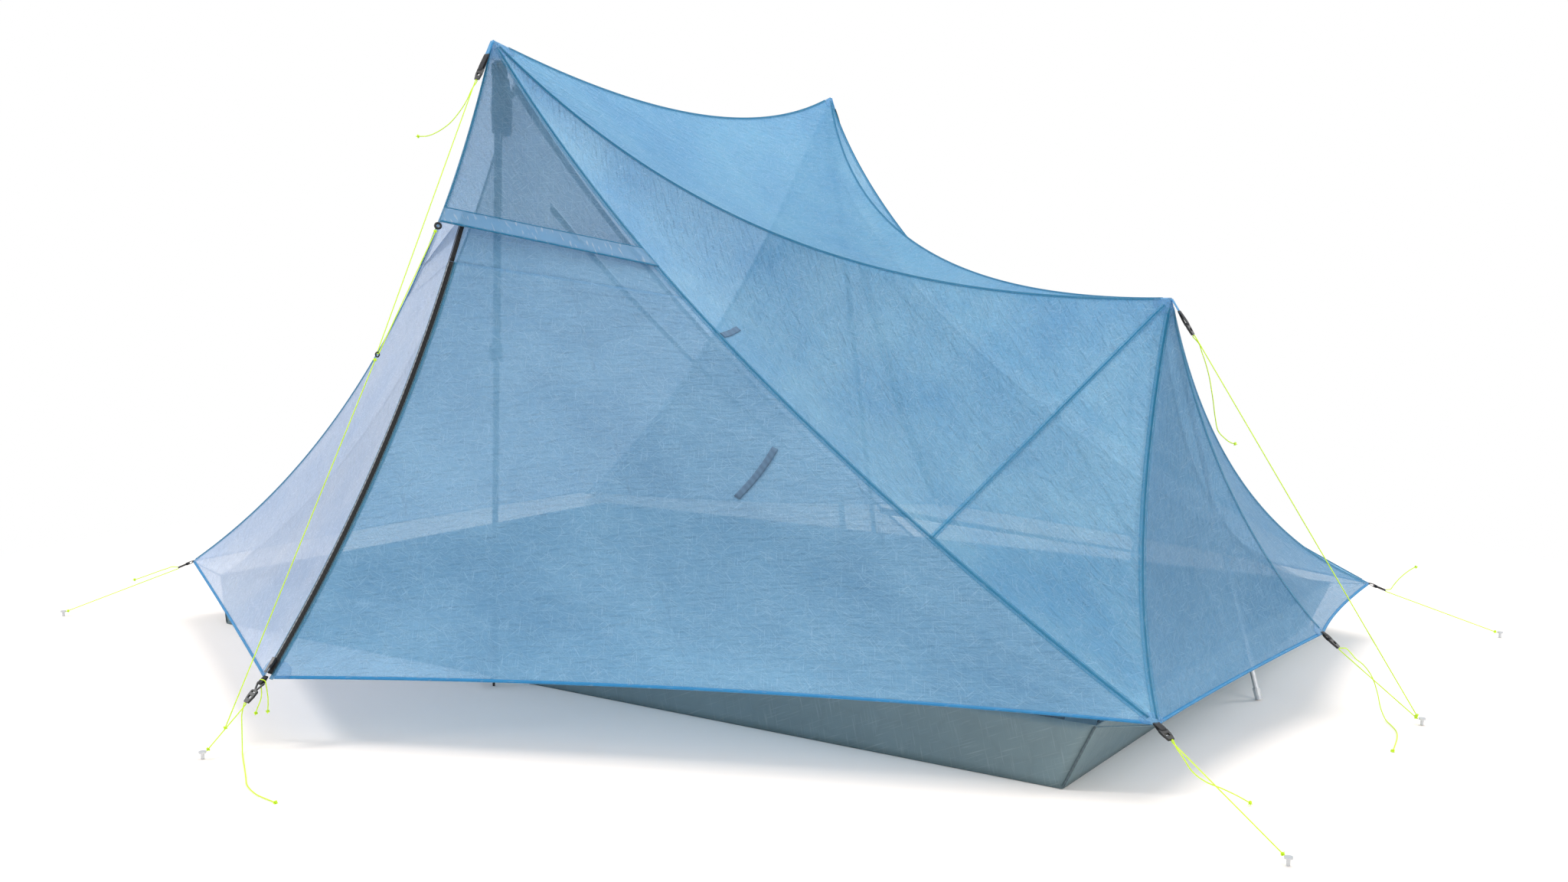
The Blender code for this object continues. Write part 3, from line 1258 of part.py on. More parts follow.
def strap(side, frame, length):
    """A wrist strap that hangs from the top of the grip, on the tent's inner side."""
    top = length - STRAP_AT
    inner = GRIP_RADIUS + STRAP_THICK
    outer = inner + STRAP_LOOP
    path = [
        (GRIP_RADIUS - STRAP_THICK, top),
        (inner, top - STRAP_THICK),
        (inner, top - STRAP_DROP / 3),
        (inner, top - 2 * STRAP_DROP / 3),
        (inner + STRAP_LOOP / 6, top - STRAP_DROP + STRAP_LOOP / 3),
        ((inner + outer) / 2, top - STRAP_DROP),
        (outer - STRAP_LOOP / 6, top - STRAP_DROP + STRAP_LOOP / 3),
        (outer, top - 2 * STRAP_DROP / 3),
        (outer, top - STRAP_DROP / 2),
        (inner + STRAP_LOOP / 3, top - STRAP_DROP / 8),
    ]
    half = STRAP_WIDTH / 2
    rows = [[Vector((x, way * half, z)) for way in (-1, 1)] for x, z in path]
    made = sheet("wrist_strap", [rows], "webbing", thickness=STRAP_THICK)
    made.matrix_world = frame @ Matrix.Rotation(side * math.pi / 2, 4, "Z")
    return made


def foot_pole():
    foot = Vector((FOOT_POLE_FOOT_X, 0.0, 0.0))
    top = Vector((FOOT_PEAK_X - FOOT_POLE_TOP_IN, 0.0, FOOT_PEAK_Z - FOOT_POLE_TOP_DROP))
    axis = top - foot
    lifted = foot + Vector((0.0, 0.0, FOOT_POLE_CAP * math.sin(math.atan2(abs(axis.x), axis.z))))
    z = (top - lifted).normalized()
    y = Vector((0.0, 1.0, 0.0))
    frame = Matrix.Translation(lifted) @ Matrix((y.cross(z), y, z)).transposed().to_4x4()
    length = (top - lifted).length - GAP
    profile = [
        (0, length),
        (FOOT_POLE_RADIUS, length),
        (FOOT_POLE_RADIUS, FOOT_POLE_CAP_LENGTH),
        (FOOT_POLE_CAP, FOOT_POLE_CAP_LENGTH),
        (FOOT_POLE_CAP, 0),
        (0, 0),
    ]
    turned("foot_pole", profile, "shaft", frame)


fixed_panels()
canopy_seams(doors())
rings()
guylines(tensioners())
bathtub()
mesh_walls()
for pole_side in (NEAR, FAR):
    main_pole(pole_side)
foot_pole()
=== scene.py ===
import json
import math

import bmesh
import bpy
from mathutils import Matrix, Vector, noise

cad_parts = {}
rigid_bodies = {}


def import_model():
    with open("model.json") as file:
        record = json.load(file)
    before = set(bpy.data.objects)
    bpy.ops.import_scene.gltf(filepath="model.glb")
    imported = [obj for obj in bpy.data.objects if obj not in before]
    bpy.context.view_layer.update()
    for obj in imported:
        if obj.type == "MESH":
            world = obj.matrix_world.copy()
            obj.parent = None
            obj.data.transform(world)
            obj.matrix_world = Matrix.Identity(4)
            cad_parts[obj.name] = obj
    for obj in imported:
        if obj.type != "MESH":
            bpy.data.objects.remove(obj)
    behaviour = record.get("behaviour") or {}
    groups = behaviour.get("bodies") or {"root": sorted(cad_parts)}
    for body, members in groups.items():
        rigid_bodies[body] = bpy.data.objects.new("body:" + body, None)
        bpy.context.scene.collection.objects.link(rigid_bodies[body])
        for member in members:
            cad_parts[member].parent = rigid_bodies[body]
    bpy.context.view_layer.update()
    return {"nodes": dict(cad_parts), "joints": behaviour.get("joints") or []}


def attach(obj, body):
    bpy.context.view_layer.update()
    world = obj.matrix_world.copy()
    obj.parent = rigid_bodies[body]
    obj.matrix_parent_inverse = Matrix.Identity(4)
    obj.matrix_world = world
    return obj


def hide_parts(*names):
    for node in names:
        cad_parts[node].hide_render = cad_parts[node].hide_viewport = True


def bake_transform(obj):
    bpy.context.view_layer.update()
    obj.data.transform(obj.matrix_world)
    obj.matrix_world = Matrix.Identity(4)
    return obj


for old in list(bpy.data.objects):
    bpy.data.objects.remove(old)
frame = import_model()
print("frame loaded:", len(frame["nodes"]), "nodes")

near, far = 1, -1
sideNames = {near: "near", far: "far"}
tentMiddle = Vector((0.05, 0.0, 0.2))

# Camera, at the photograph's place

view = {
    "place": (2.0197, -2.9811, 0.8261),
    "right": (0.8331, 0.5532, 0.0032),
    "ahead": (-0.5496, 0.8282, -0.1098),
    "lens": 36.325,
    "sensor": 36.0,
}


def placeCamera():
    lensData = bpy.data.cameras.new("camera")
    lensData.lens, lensData.sensor_width = view["lens"], view["sensor"]
    lensData.clip_end = 100.0
    camera = bpy.data.objects.new("camera", lensData)
    bpy.context.scene.collection.objects.link(camera)
    ahead = Vector(view["ahead"]).normalized()
    right = Vector(view["right"])
    right = (right - right.dot(ahead) * ahead).normalized()
    turn = Matrix((right, right.cross(ahead), -ahead)).transposed().to_4x4()
    camera.matrix_world = Matrix.Translation(Vector(view["place"])) @ turn
    bpy.context.scene.camera = camera


placeCamera()

# Materials


def linear(code):
    parts = [int(code[k : k + 2], 16) / 255 for k in (1, 3, 5)]
    return (*(p / 12.92 if p <= 0.04045 else ((p + 0.055) / 1.055) ** 2.4 for p in parts), 1.0)


def addNode(tree, kind, settings=None, inputs=None, output=0):
    # an input is a socket to link from, a colour's hex code or a plain value
    node = tree.nodes.new("ShaderNode" + kind)
    for key, value in (settings or {}).items():
        setattr(node, key, value)
    for key, value in (inputs or {}).items():
        if isinstance(value, bpy.types.NodeSocket):
            tree.links.new(value, node.inputs[key])
        else:
            node.inputs[key].default_value = linear(value) if isinstance(value, str) else value
    return node.outputs[output]


def newMaterial(name, coordinates="UV"):
    material = bpy.data.materials.new(name)
    material.use_nodes = True
    tree = material.node_tree
    return material, tree, tree.nodes["Principled BSDF"], addNode(tree, "TexCoord", output=coordinates)


rgba, larger = {"data_type": "RGBA"}, {"operation": "MAXIMUM"}
add, times = {"operation": "ADD"}, {"operation": "MULTIPLY"}


def streaks(tree, coords, turn, long, wide, low, high, detail=1.0):
    # long thin marks in one direction, as a value from 0 to 1
    placed = addNode(
        tree, "Mapping", {"vector_type": "TEXTURE"},
        {"Vector": coords, "Rotation": (0.0, 0.0, math.radians(turn)), "Scale": (long, wide, 1.0)},
    )
    grain = addNode(tree, "TexNoise", None, {"Vector": placed, "Scale": 1.0, "Detail": detail}, "Fac")
    return addNode(tree, "MapRange", None, {"Value": grain, "From Min": low, "From Max": high})


def dress(tree, shader, tint, height, strength, depth, grain, smooth, rough):
    # what every solid finish ends with: its colour, its relief and how its gloss varies
    bump = addNode(tree, "Bump", None, {"Height": height, "Strength": strength, "Distance": depth})
    gloss = addNode(tree, "MapRange", None, {"Value": grain, "To Min": smooth, "To Max": rough})
    for name, socket in (("Base Color", tint), ("Normal", bump), ("Roughness", gloss)):
        tree.links.new(socket, shader.inputs[name])
    return bump


def filmLayers(tree, shader, tint, normal, opacity, fibre, glow):
    # part of the light goes through scattered, a little goes straight through. Each sheet has two
    # faces, so each face is as clear as the root of what the sheet is
    shader.inputs["IOR"].default_value = 1.49
    lit = {"Color": tint, "Normal": normal} if normal else {"Color": tint}
    through = addNode(tree, "BsdfTranslucent", None, lit)
    soft = addNode(tree, "MixShader", None, {0: glow, 1: shader.outputs[0], 2: through})
    face = share = 1 - math.sqrt(1 - opacity)
    if fibre:
        spread = {"Value": fibre, "To Min": face - 0.04, "To Max": min(1.0, face + 0.1)}
        share = addNode(tree, "MapRange", None, spread)
    last = addNode(tree, "MixShader", None, {0: share, 1: addNode(tree, "BsdfTransparent"), 2: soft})
    tree.links.new(last, tree.nodes["Material Output"].inputs["Surface"])


# Film laminate: two clear blue films with white fibres scattered between them. It looks like crisp
# tracing paper, half see-through, with short straight pale lines in every direction and a fine crinkle.
laminate = {
    "fibreTurns": (6, 38, 71, 104, 139, 163),
    "fibreLong": 0.046,
    "fibreWide": 0.0023,  # the real ones are a few tenths wide, too fine to show
    "fibreFrom": (0.60, 0.74),
    "fibreShare": 0.22,
    "crinkleLong": 0.038,
    "crinkleWide": 0.0095,
    "crinkleHeight": 0.0042,
    "cloudSize": 0.32,
    "foldSpacing": (0.215, 0.43),
    "foldWide": 0.004,
    "roughness": 0.32,
    "glow": 0.46,
}


def filmLaminate(name, base, deep, pale, opacity, crinkleTurn, crinkle, folds):
    material, tree, shader, coords = newMaterial(name)
    long, wide = laminate["crinkleLong"], laminate["crinkleWide"]
    fibre = None
    for turn in laminate["fibreTurns"]:
        marks = streaks(
            tree, coords, turn, laminate["fibreLong"], laminate["fibreWide"], *laminate["fibreFrom"]
        )
        fibre = addNode(tree, "Math", larger, {0: fibre, 1: marks}) if fibre else marks
    cloud = {"Vector": coords, "Scale": 1 / laminate["cloudSize"], "Detail": 4.0, "Roughness": 0.55}
    cloud = {"Value": addNode(tree, "TexNoise", None, cloud, "Fac"), "From Min": 0.34, "From Max": 0.66}
    cloud = addNode(tree, "MapRange", None, cloud)
    # old packing folds: thin straight lines a hand apart, broken here and there, in the relief and as
    # painted shade in the colour
    split = addNode(tree, "SeparateXYZ", None, {"Vector": coords}).node
    lines = None
    for axis, spacing in enumerate(laminate["foldSpacing"]):
        wave = addNode(tree, "Math", {"operation": "PINGPONG"}, {0: split.outputs[axis], 1: spacing})
        line = {"Value": wave, "From Max": laminate["foldWide"], "To Min": 1.0, "To Max": 0.0}
        line = addNode(tree, "MapRange", None, line)
        lines = addNode(tree, "Math", larger, {0: lines, 1: line}) if lines else line
    broken = addNode(tree, "TexNoise", None, {"Vector": coords, "Scale": 9.0, "Detail": 2.0}, "Fac")
    broken = {"Value": broken, "From Min": 0.42, "From Max": 0.62, "To Max": folds}
    lines = addNode(tree, "Math", times, {0: lines, 1: addNode(tree, "MapRange", None, broken)})
    tint = addNode(tree, "Mix", rgba, {0: cloud, 6: base, 7: deep}, 2)
    # painted shade in the folds: along the lines the tint is pulled halfway to the deep blue
    share = addNode(tree, "Math", times, {0: lines, 1: 0.5})
    tint = addNode(tree, "Mix", rgba, {0: share, 6: tint, 7: deep}, 2)
    share = addNode(tree, "Math", times, {0: fibre, 1: laminate["fibreShare"]})
    tint = addNode(tree, "Mix", rgba, {0: share, 6: tint, 7: pale}, 2)
    # crinkle: short soft ridges mostly one way, crossed by finer ones
    height = streaks(tree, coords, crinkleTurn, long, wide, 0.25, 0.75, 3.0)
    finer = streaks(tree, coords, crinkleTurn + 70.0, long / 2, wide / 2, 0.2, 0.8, 2.0)
    for marks, strength in ((finer, 0.35), (fibre, 0.12), (lines, 0.6)):
        marks = addNode(tree, "Math", times, {0: marks, 1: strength})
        height = addNode(tree, "Math", add, {0: height, 1: marks})
    smooth, rough = laminate["roughness"] - 0.07, laminate["roughness"] + 0.12
    deepest = laminate["crinkleHeight"] * crinkle
    bump = dress(tree, shader, tint, height, 0.9, deepest, cloud, smooth, rough)
    filmLayers(tree, shader, tint, bump, opacity, fibre, laminate["glow"])
    return material


# Bonded tape: the same film, doubled and glued, deeper blue with a hard pressed edge
def bondedTape(name, base, deep, opacity, speckle, speckleSize):
    material, tree, shader, coords = newMaterial(name)
    grain = addNode(tree, "TexNoise", None, {"Vector": coords, "Scale": 1 / 0.03, "Detail": 4.0}, "Fac")
    tint = addNode(tree, "Mix", rgba, {0: grain, 6: base, 7: deep}, 2)
    flecks = streaks(tree, coords, 84.0, speckleSize * 4, speckleSize, 0.60, 0.72)
    share = addNode(tree, "Math", times, {0: flecks, 1: speckle})
    tint = addNode(tree, "Mix", rgba, {0: share, 6: tint, 7: "#eef6fb"}, 2)
    dress(tree, shader, tint, flecks, 0.6, 0.0006, grain, 0.32, 0.5)
    filmLayers(tree, shader, tint, None, opacity, None, 0.4)
    return material


# Coated floor laminate: heavier, grey-blue and nearly opaque, creased all over like waxed paper
def floorLaminate(name):
    material, tree, shader, coords = newMaterial(name)
    cloud = {"Vector": coords, "Scale": 5.0, "Detail": 5.0, "Roughness": 0.6}
    cloud = addNode(tree, "TexNoise", None, cloud, "Fac")
    # a small random push bends the straight borders of the cells into creases
    push = addNode(tree, "TexNoise", None, {"Vector": coords, "Scale": 14.0, "Detail": 2.0}, "Color")
    push = addNode(tree, "VectorMath", {"operation": "SCALE"}, {0: push, "Scale": 0.03})
    moved = addNode(tree, "VectorMath", add, {0: coords, 1: push})
    cells = {"Vector": moved, "Scale": 1 / 0.055, "Randomness": 1.0}
    cells = addNode(tree, "TexVoronoi", {"feature": "DISTANCE_TO_EDGE"}, cells, "Distance")
    crease = {"Value": cells, "From Max": 0.12, "To Min": 1.0, "To Max": 0.0}
    crease = addNode(tree, "MapRange", None, crease)
    fibre = [streaks(tree, coords, turn, 0.06, 0.003, 0.6, 0.75) for turn in (24.0, 112.0)]
    fibre = addNode(tree, "Math", larger, {0: fibre[0], 1: fibre[1]})
    tint = addNode(tree, "Mix", rgba, {0: cloud, 6: "#5f777e", 7: "#768c93"}, 2)
    # painted shade in the creases: the colour darkens along them; the pale flecks are the fibres' own colour
    for marks, strength, colour in ((crease, 0.10, "#4c5c62"), (fibre, 0.14, "#c3d0d5")):
        share = addNode(tree, "Math", times, {0: marks, 1: strength})
        tint = addNode(tree, "Mix", rgba, {0: share, 6: tint, 7: colour}, 2)
    fine = addNode(tree, "TexNoise", None, {"Vector": coords, "Scale": 60.0, "Detail": 4.0}, "Fac")
    height = addNode(tree, "Math", add, {0: addNode(tree, "Math", times, {0: crease, 1: -0.25}), 1: fine})
    dress(tree, shader, tint, height, 0.55, 0.0014, cloud, 0.42, 0.6)
    return material


# Knitted insect net: charcoal polyester with holes under a millimetre, so it reads as a grey veil
def insectNet(name, opacity):
    material, tree, shader, coords = newMaterial(name)
    knit = addNode(tree, "TexNoise", None, {"Vector": coords, "Scale": 1 / 0.006, "Detail": 1.0}, "Fac")
    tint = addNode(tree, "Mix", rgba, {0: knit, 6: "#2a3138", 7: "#49535c"}, 2)
    face = 1 - math.sqrt(1 - opacity)
    alpha = {"Value": knit, "From Min": 0.3, "From Max": 0.7, "To Min": face - 0.08, "To Max": face + 0.08}
    tree.links.new(tint, shader.inputs["Base Color"])
    tree.links.new(addNode(tree, "MapRange", None, alpha), shader.inputs["Alpha"])
    shader.inputs["Roughness"].default_value = 0.85
    return material


# Woven webbing, zip tape and dark trim: spun polyester, matt, with a rib every millimetre or so
def wovenTrim(name, base, deep, rib, roughness):
    material, tree, shader, coords = newMaterial(name, "Object")
    ribs = {"Vector": coords, "Scale": 1 / rib / 20, "Distortion": 1.5, "Detail": 2.0}
    ribs = addNode(tree, "TexWave", {"bands_direction": "DIAGONAL"}, ribs, "Fac")
    tint = addNode(tree, "Mix", rgba, {0: ribs, 6: base, 7: deep}, 2)
    dress(tree, shader, tint, ribs, 0.5, 0.0003, ribs, roughness - 0.08, roughness + 0.08)
    return material


# Braided guyline: 2 mm polyester in reflective neon yellow-green, the braid shows as small slanted flecks
def braidedCord(name):
    material, tree, shader, coords = newMaterial(name, "Object")
    flecks = addNode(tree, "TexVoronoi", None, {"Vector": coords, "Scale": 1 / 0.0016}, "Distance")
    tint = addNode(tree, "Mix", rgba, {0: flecks, 6: "#e2ff2e", 7: "#c0ea14"}, 2)
    dress(tree, shader, tint, flecks, 0.5, 0.0003, flecks, 0.5, 0.7)
    return material


# Hard parts: moulded acetal, anodised aluminium, foam. Fine grain, with paler worn spots
def hardPart(name, base, worn, roughness, grain, metallic, bumpHeight, stretch):
    material, tree, shader, coords = newMaterial(name, "Object")
    placed = addNode(tree, "Mapping", None, {"Vector": coords, "Scale": (1.0, 1.0, stretch)})
    fine = addNode(tree, "TexNoise", None, {"Vector": placed, "Scale": 1 / grain, "Detail": 3.0}, "Fac")
    wear = {"Vector": placed, "Scale": 1 / (12 * grain), "Detail": 3.0}
    wear = {"Value": addNode(tree, "TexNoise", None, wear, "Fac"), "From Min": 0.52, "From Max": 0.75}
    wear = addNode(tree, "MapRange", None, wear)
    share = addNode(tree, "Math", times, {0: wear, 1: 0.6})
    tint = addNode(tree, "Mix", rgba, {0: share, 6: base, 7: worn}, 2)
    dress(tree, shader, tint, fine, 0.4, bumpHeight, fine, roughness - 0.06, roughness + 0.1)
    shader.inputs["Metallic"].default_value = metallic
    return material


# base, deep and pale tint, opacity, the crinkle's way and strength, the old folds' strength (in the relief
# and as painted shade). Every panel is the same blue film: the tints differ from panel to panel as painted
# light and shade, palest on the head and deepest on the foot
films = {
    "roof": ("#8fcdea", "#74b8df", "#dfeff9", 0.93, 20.0, 1.3, 0.5),
    "side": ("#a8dcf6", "#80c2ea", "#e8f5fc", 0.88, 48.0, 1.7, 0.5),
    "door": ("#a0d5f5", "#86bfe4", "#e2f0f9", 0.80, 8.0, 1.0, 0.9),
    "head": ("#dfebfd", "#c9dcf6", "#fafcfe", 0.86, 30.0, 1.3, 0.8),
    "hood": ("#90c3e2", "#7cafd4", "#d0e4f2", 0.71, 75.0, 1.3, 0.5),
    "foot": ("#82bade", "#6daad1", "#d6e9f6", 0.87, 100.0, 1.2, 0.5),
}
# base and deep tint, opacity, strength and size of the pale speckles
tapes = {
    "seam_tape": ("#64b8da", "#50a6cc", 0.52, 0.20, 0.004),
    "seam_core": ("#2390b8", "#1a7ca2", 0.93, 0.05, 0.004),
    "hem_tape": ("#4cb2e4", "#389cd0", 0.90, 0.14, 0.004),
    "hood_band": ("#a6d4f0", "#92c4e6", 0.60, 0.70, 0.006),
    "patch_tape": ("#8cc2e6", "#7cb4dc", 0.45, 0.10, 0.004),
}
# base and deep tint, a rib's width, roughness
trims = {
    "black_webbing": ("#16171a", "#26282c", 0.0014, 0.8),
    # the tie straps' slate blue is painted shade: how a black strap behind the cloth darkens it by blocking
    # the light through it
    "zip_tape": ("#08090b", "#0f1013", 0.0008, 0.85),
    "tie_strap_shade": ("#46627c", "#54718b", 0.0016, 0.8),
    "zip_shine": ("#70767c", "#9aa0a6", 0.0012, 0.4),
    "tub_piping": ("#46565d", "#54656c", 0.001, 0.8),
    "net_piping": ("#1d2126", "#2c3138", 0.001, 0.8),
}
# base and worn tint, roughness, grain, metallic, relief, stretch along the part
hardParts = {
    "moulded_acetal": ("#141517", "#2b2d30", 0.38, 0.0008, 0.0, 0.0002, 1.0),
    "anodised_grey": ("#c4c8cc", "#dcdfe2", 0.34, 0.0006, 1.0, 0.00008, 1.0),
    "anodised_black": ("#24272b", "#4a4e53", 0.30, 0.0006, 0.85, 0.00005, 0.1),
    "foam_grip": ("#1b1c1e", "#303235", 0.85, 0.0016, 0.0, 0.0005, 1.0),
}
film = {name: filmLaminate(f"{name}_film", *look) for name, look in films.items()}
seamTape, seamCore, hemTape, hoodBand, patchTape = (bondedTape(name, *look) for name, look in tapes.items())
blackTrim, zipTrim, strapShadeTone, zipShine, tubPiping, netPiping = (
    wovenTrim(name, *look) for name, look in trims.items()
)
blackPlastic, stakeMetal, shaftMetal, foamGrip = (hardPart(name, *look) for name, look in hardParts.items())
floorFilm = floorLaminate("floor_film")
netting = insectNet("insect_net", 0.50)
neonCord = braidedCord("neon_cord")
print("materials made")

# The canopy's lines and surfaces, from the same numbers as the frame

canopy = {
    "peak": (-0.235, -0.632, 1.270),
    "footPeak": (0.942, 0.0, 0.767),
    "headCorner": (-1.149, -0.706, 0.135),
    "footCorner": (1.182, -0.667, 0.120),
    "footCentre": (1.256, 0.0, 0.145),
    "apex": (-0.216, -1.242, 0.111),
    "zipTop": (-0.216, -0.751, 0.902),
    "hoodCorner": (-0.235, -0.786, 0.909),
    "hoodFootShare": 0.376,
    "hoodHeadShare": 0.319,
    "zipSag": 0.037,
    "doorTop": 0.92,
    "bandTop": 1.035,
    "bandSide": 1.004,
    "bandLap": 0.004,
}
# each edge runs between two points and sags in its middle
edges = {
    "doorSeam": ("peak", "footCorner", (-0.191, 0.095, -0.015)),
    "ridge": ("peak", "footPeak", (-0.122, 0.054, -0.139)),
    "crown": ("peak", "farPeak", (0.056, 0.0, -0.100)),
    "headSeam": ("peak", "headCorner", (0.062, 0.053, -0.095)),
    "footSeam": ("footPeak", "footCorner", (-0.053, 0.041, -0.075)),
    "footCrease": ("footPeak", "footCentre", (-0.038, 0.0, -0.037)),
    "hoodRidge": ("peak", "hoodCorner", (0.0, 0.008, -0.006)),
    "doorHem": ("apex", "footCorner", (-0.001, 0.020, 0.013)),
    "headDoorHem": ("apex", "headCorner", (-0.004, 0.012, -0.012)),
    "footHem": ("footCentre", "footCorner", (-0.016, 0.0, -0.007)),
    "headHem": ("headCorner", "farHead", (0.020, 0.0, 0.012)),
}


def sagged(start, end, sag):
    return lambda t: start.lerp(end, t) + 4 * t * (1 - t) * sag


def straight(start, end):
    return lambda t: start.lerp(end, t)


def part(curve, low, high):
    return lambda t: curve(low + (high - low) * t)


def coons(bottom, top, left, right):
    lowLeft, lowRight, highLeft, highRight = left(0), right(0), left(1), right(1)

    def at(u, v):
        across = bottom(u).lerp(top(u), v)
        along = left(v).lerp(right(v), u)
        return across + along - lowLeft.lerp(lowRight, u).lerp(highLeft.lerp(highRight, u), v)

    return at


def linesOf(side):
    def flip(values, way=side):
        return Vector((values[0], values[1] * way, values[2]))

    p = {name: flip(place) for name, place in canopy.items() if isinstance(place, tuple)}
    p["farPeak"], p["farHead"] = flip(canopy["peak"], -side), flip(canopy["headCorner"], -side)
    chord = p["zipTop"] - p["apex"]
    radius = chord.length**2 / (8 * canopy["zipSag"]) + canopy["zipSag"] / 2
    half = math.asin(chord.length / 2 / radius)
    outward = Vector((0.0, -chord.z * side, abs(chord.y))).normalized()
    hub = (p["apex"] + p["zipTop"]) / 2 + outward * (radius - canopy["zipSag"])
    line = {name: sagged(p[start], p[end], flip(sag)) for name, (start, end, sag) in edges.items()}
    line["zip"] = lambda t: hub + Matrix.Rotation(2 * half * t * side, 3, "X") @ (p["apex"] - hub)
    return p, line


points, lines = {}, {}
for side in (near, far):
    points[side], lines[side] = linesOf(side)


def surfacesOf(side):
    p, line = points[side], lines[side]
    footShare, headShare = canopy["hoodFootShare"], canopy["hoodHeadShare"]
    hoodFoot, hoodHead = line["doorSeam"](footShare), line["headSeam"](headShare)

    def back(name, low=1, high=0):
        return part(line[name], low, high)

    def peak(u):
        return p["peak"]

    footTop, headTop = straight(p["zipTop"], hoodFoot), straight(p["zipTop"], hoodHead)
    footLow, headLow = straight(hoodFoot, p["hoodCorner"]), straight(p["hoodCorner"], hoodHead)
    return {
        "sideWall": coons(back("footSeam"), peak, back("doorSeam"), back("ridge")),
        "footPanel": coons(line["footHem"], lambda u: p["footPeak"], back("footCrease"), back("footSeam")),
        "hoodFoot": coons(footLow, peak, back("doorSeam", footShare), back("hoodRidge")),
        "hoodHead": coons(headLow, peak, back("hoodRidge"), back("headSeam", headShare)),
        "footDoor": coons(line["doorHem"], footTop, line["zip"], back("doorSeam", 1, footShare)),
        "headDoor": coons(line["headDoorHem"], headTop, line["zip"], back("headSeam", 1, headShare)),
    }


surfaces = {side: surfacesOf(side) for side in (near, far)}
crown, ridges = lines[near]["crown"], [lines[side]["ridge"] for side in (near, far)]
roof = coons(crown, lambda u: points[near]["footPeak"], *ridges)
headSeams = [part(lines[side]["headSeam"], 1, 0) for side in (near, far)]
headPanel = coons(lines[near]["headHem"], crown, *headSeams)


def spread(count, low=0.0, high=1.0):
    return [low + (high - low) * k / count for k in range(count + 1)]


def smoothStep(value):
    value = max(0.0, min(1.0, value))
    return value * value * (3 - 2 * value)


def outwardAt(spot, right, up):
    # the cloth's normal, away from the tent's middle
    out = right.cross(up).normalized()
    return -out if out.dot(spot - tentMiddle) < 0 else out


def flattened(rows):
    # the cloth laid flat: metres from the middle of each row, and up the middle column
    middle = len(rows[0]) // 2
    ups = [0.0]
    for low, high in zip(rows, rows[1:]):
        ups.append(ups[-1] + (high[middle] - low[middle]).length)
    flat = []
    for row, up in zip(rows, ups):
        xs = [0.0]
        for a, b in zip(row, row[1:]):
            xs.append(xs[-1] + (b - a).length)
        flat.append([(x - xs[middle], up) for x in xs])
    return flat


def gridInto(bm, rows, flat=None, columns=None, outward=None):
    # a primitive grid, its points moved onto the rows, with a UV map in metres
    flat = flat or flattened(rows)
    nv, nu = len(rows) - 1, len(rows[0]) - 1
    own = bmesh.new()
    layer = own.loops.layers.uv.new("UVMap")
    bmesh.ops.create_grid(own, x_segments=nu, y_segments=nv, size=1.0)
    place = {v: (round((v.co.x + 1) / 2 * nu), round((v.co.y + 1) / 2 * nv)) for v in own.verts}
    for face in own.faces:
        for loop in face.loops:
            i, j = place[loop.vert]
            loop[layer].uv = flat[j][i]
        if columns:
            face.material_index = columns[min(place[v][0] for v in face.verts)]
    for vert, (i, j) in place.items():
        vert.co = rows[j][i]
    bmesh.ops.remove_doubles(own, verts=own.verts, dist=0.00001)
    own.normal_update()
    look = outward or (rows[nv // 2][nu // 2] - tentMiddle)
    if sum(face.calc_area() * face.normal.dot(look) for face in own.faces) < 0:
        bmesh.ops.reverse_faces(own, faces=own.faces)
    mesh = bpy.data.meshes.new("grid")
    own.to_mesh(mesh)
    own.free()
    bm.from_mesh(mesh)
    bpy.data.meshes.remove(mesh)


def finished(name, bm, materials, body="root", thick=None, offset=0.0, slot=None, ride=True):
    mesh = bpy.data.meshes.new(name)
    bm.to_mesh(mesh)
    bm.free()
    for material in materials:
        mesh.materials.append(material)
    mesh.shade_smooth()
    piece = bpy.data.objects.new(name, mesh)
    bpy.context.scene.collection.objects.link(piece)
    solid = piece.modifiers.new("thickness", "SOLIDIFY")
    solid.thickness, solid.offset = thick, offset
    if ride:
        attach(piece, body)
    return piece


def gridPiece(name, grids, materials, node, body="root", columns=None, outward=None, **finish):
    bm = bmesh.new()
    for rows in grids:
        gridInto(bm, rows, columns=columns, outward=outward)
    piece = finished(name, bm, materials, body, **finish)
    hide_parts(node)
    return piece


# Folds: soft waves over each panel, and creases that run out from its pulled corners

folding = {
    "step": 0.0125,
    "edge": 0.06,
    "waveSize": 0.26,
    "waveHeight": 0.0030,
    "rippleSize": 0.055,
    "rippleHeight": 0.0007,
    "start": 0.05,
    "reach": 0.17,
    "height": 0.0028,
}


def creases(x, y, corners, seed):
    total = 0.0
    for cx, cy, count, height in corners:
        away = math.hypot(x - cx, y - cy)
        angle = math.atan2(y - cy, x - cx)
        wobble = 1.6 * noise.noise(Vector((x * 4, y * 4, seed + cx)))
        fade = smoothStep(away / folding["start"]) * math.exp(-away / folding["reach"])
        total += height * fade * math.sin(count * angle + wobble + seed)
    return total


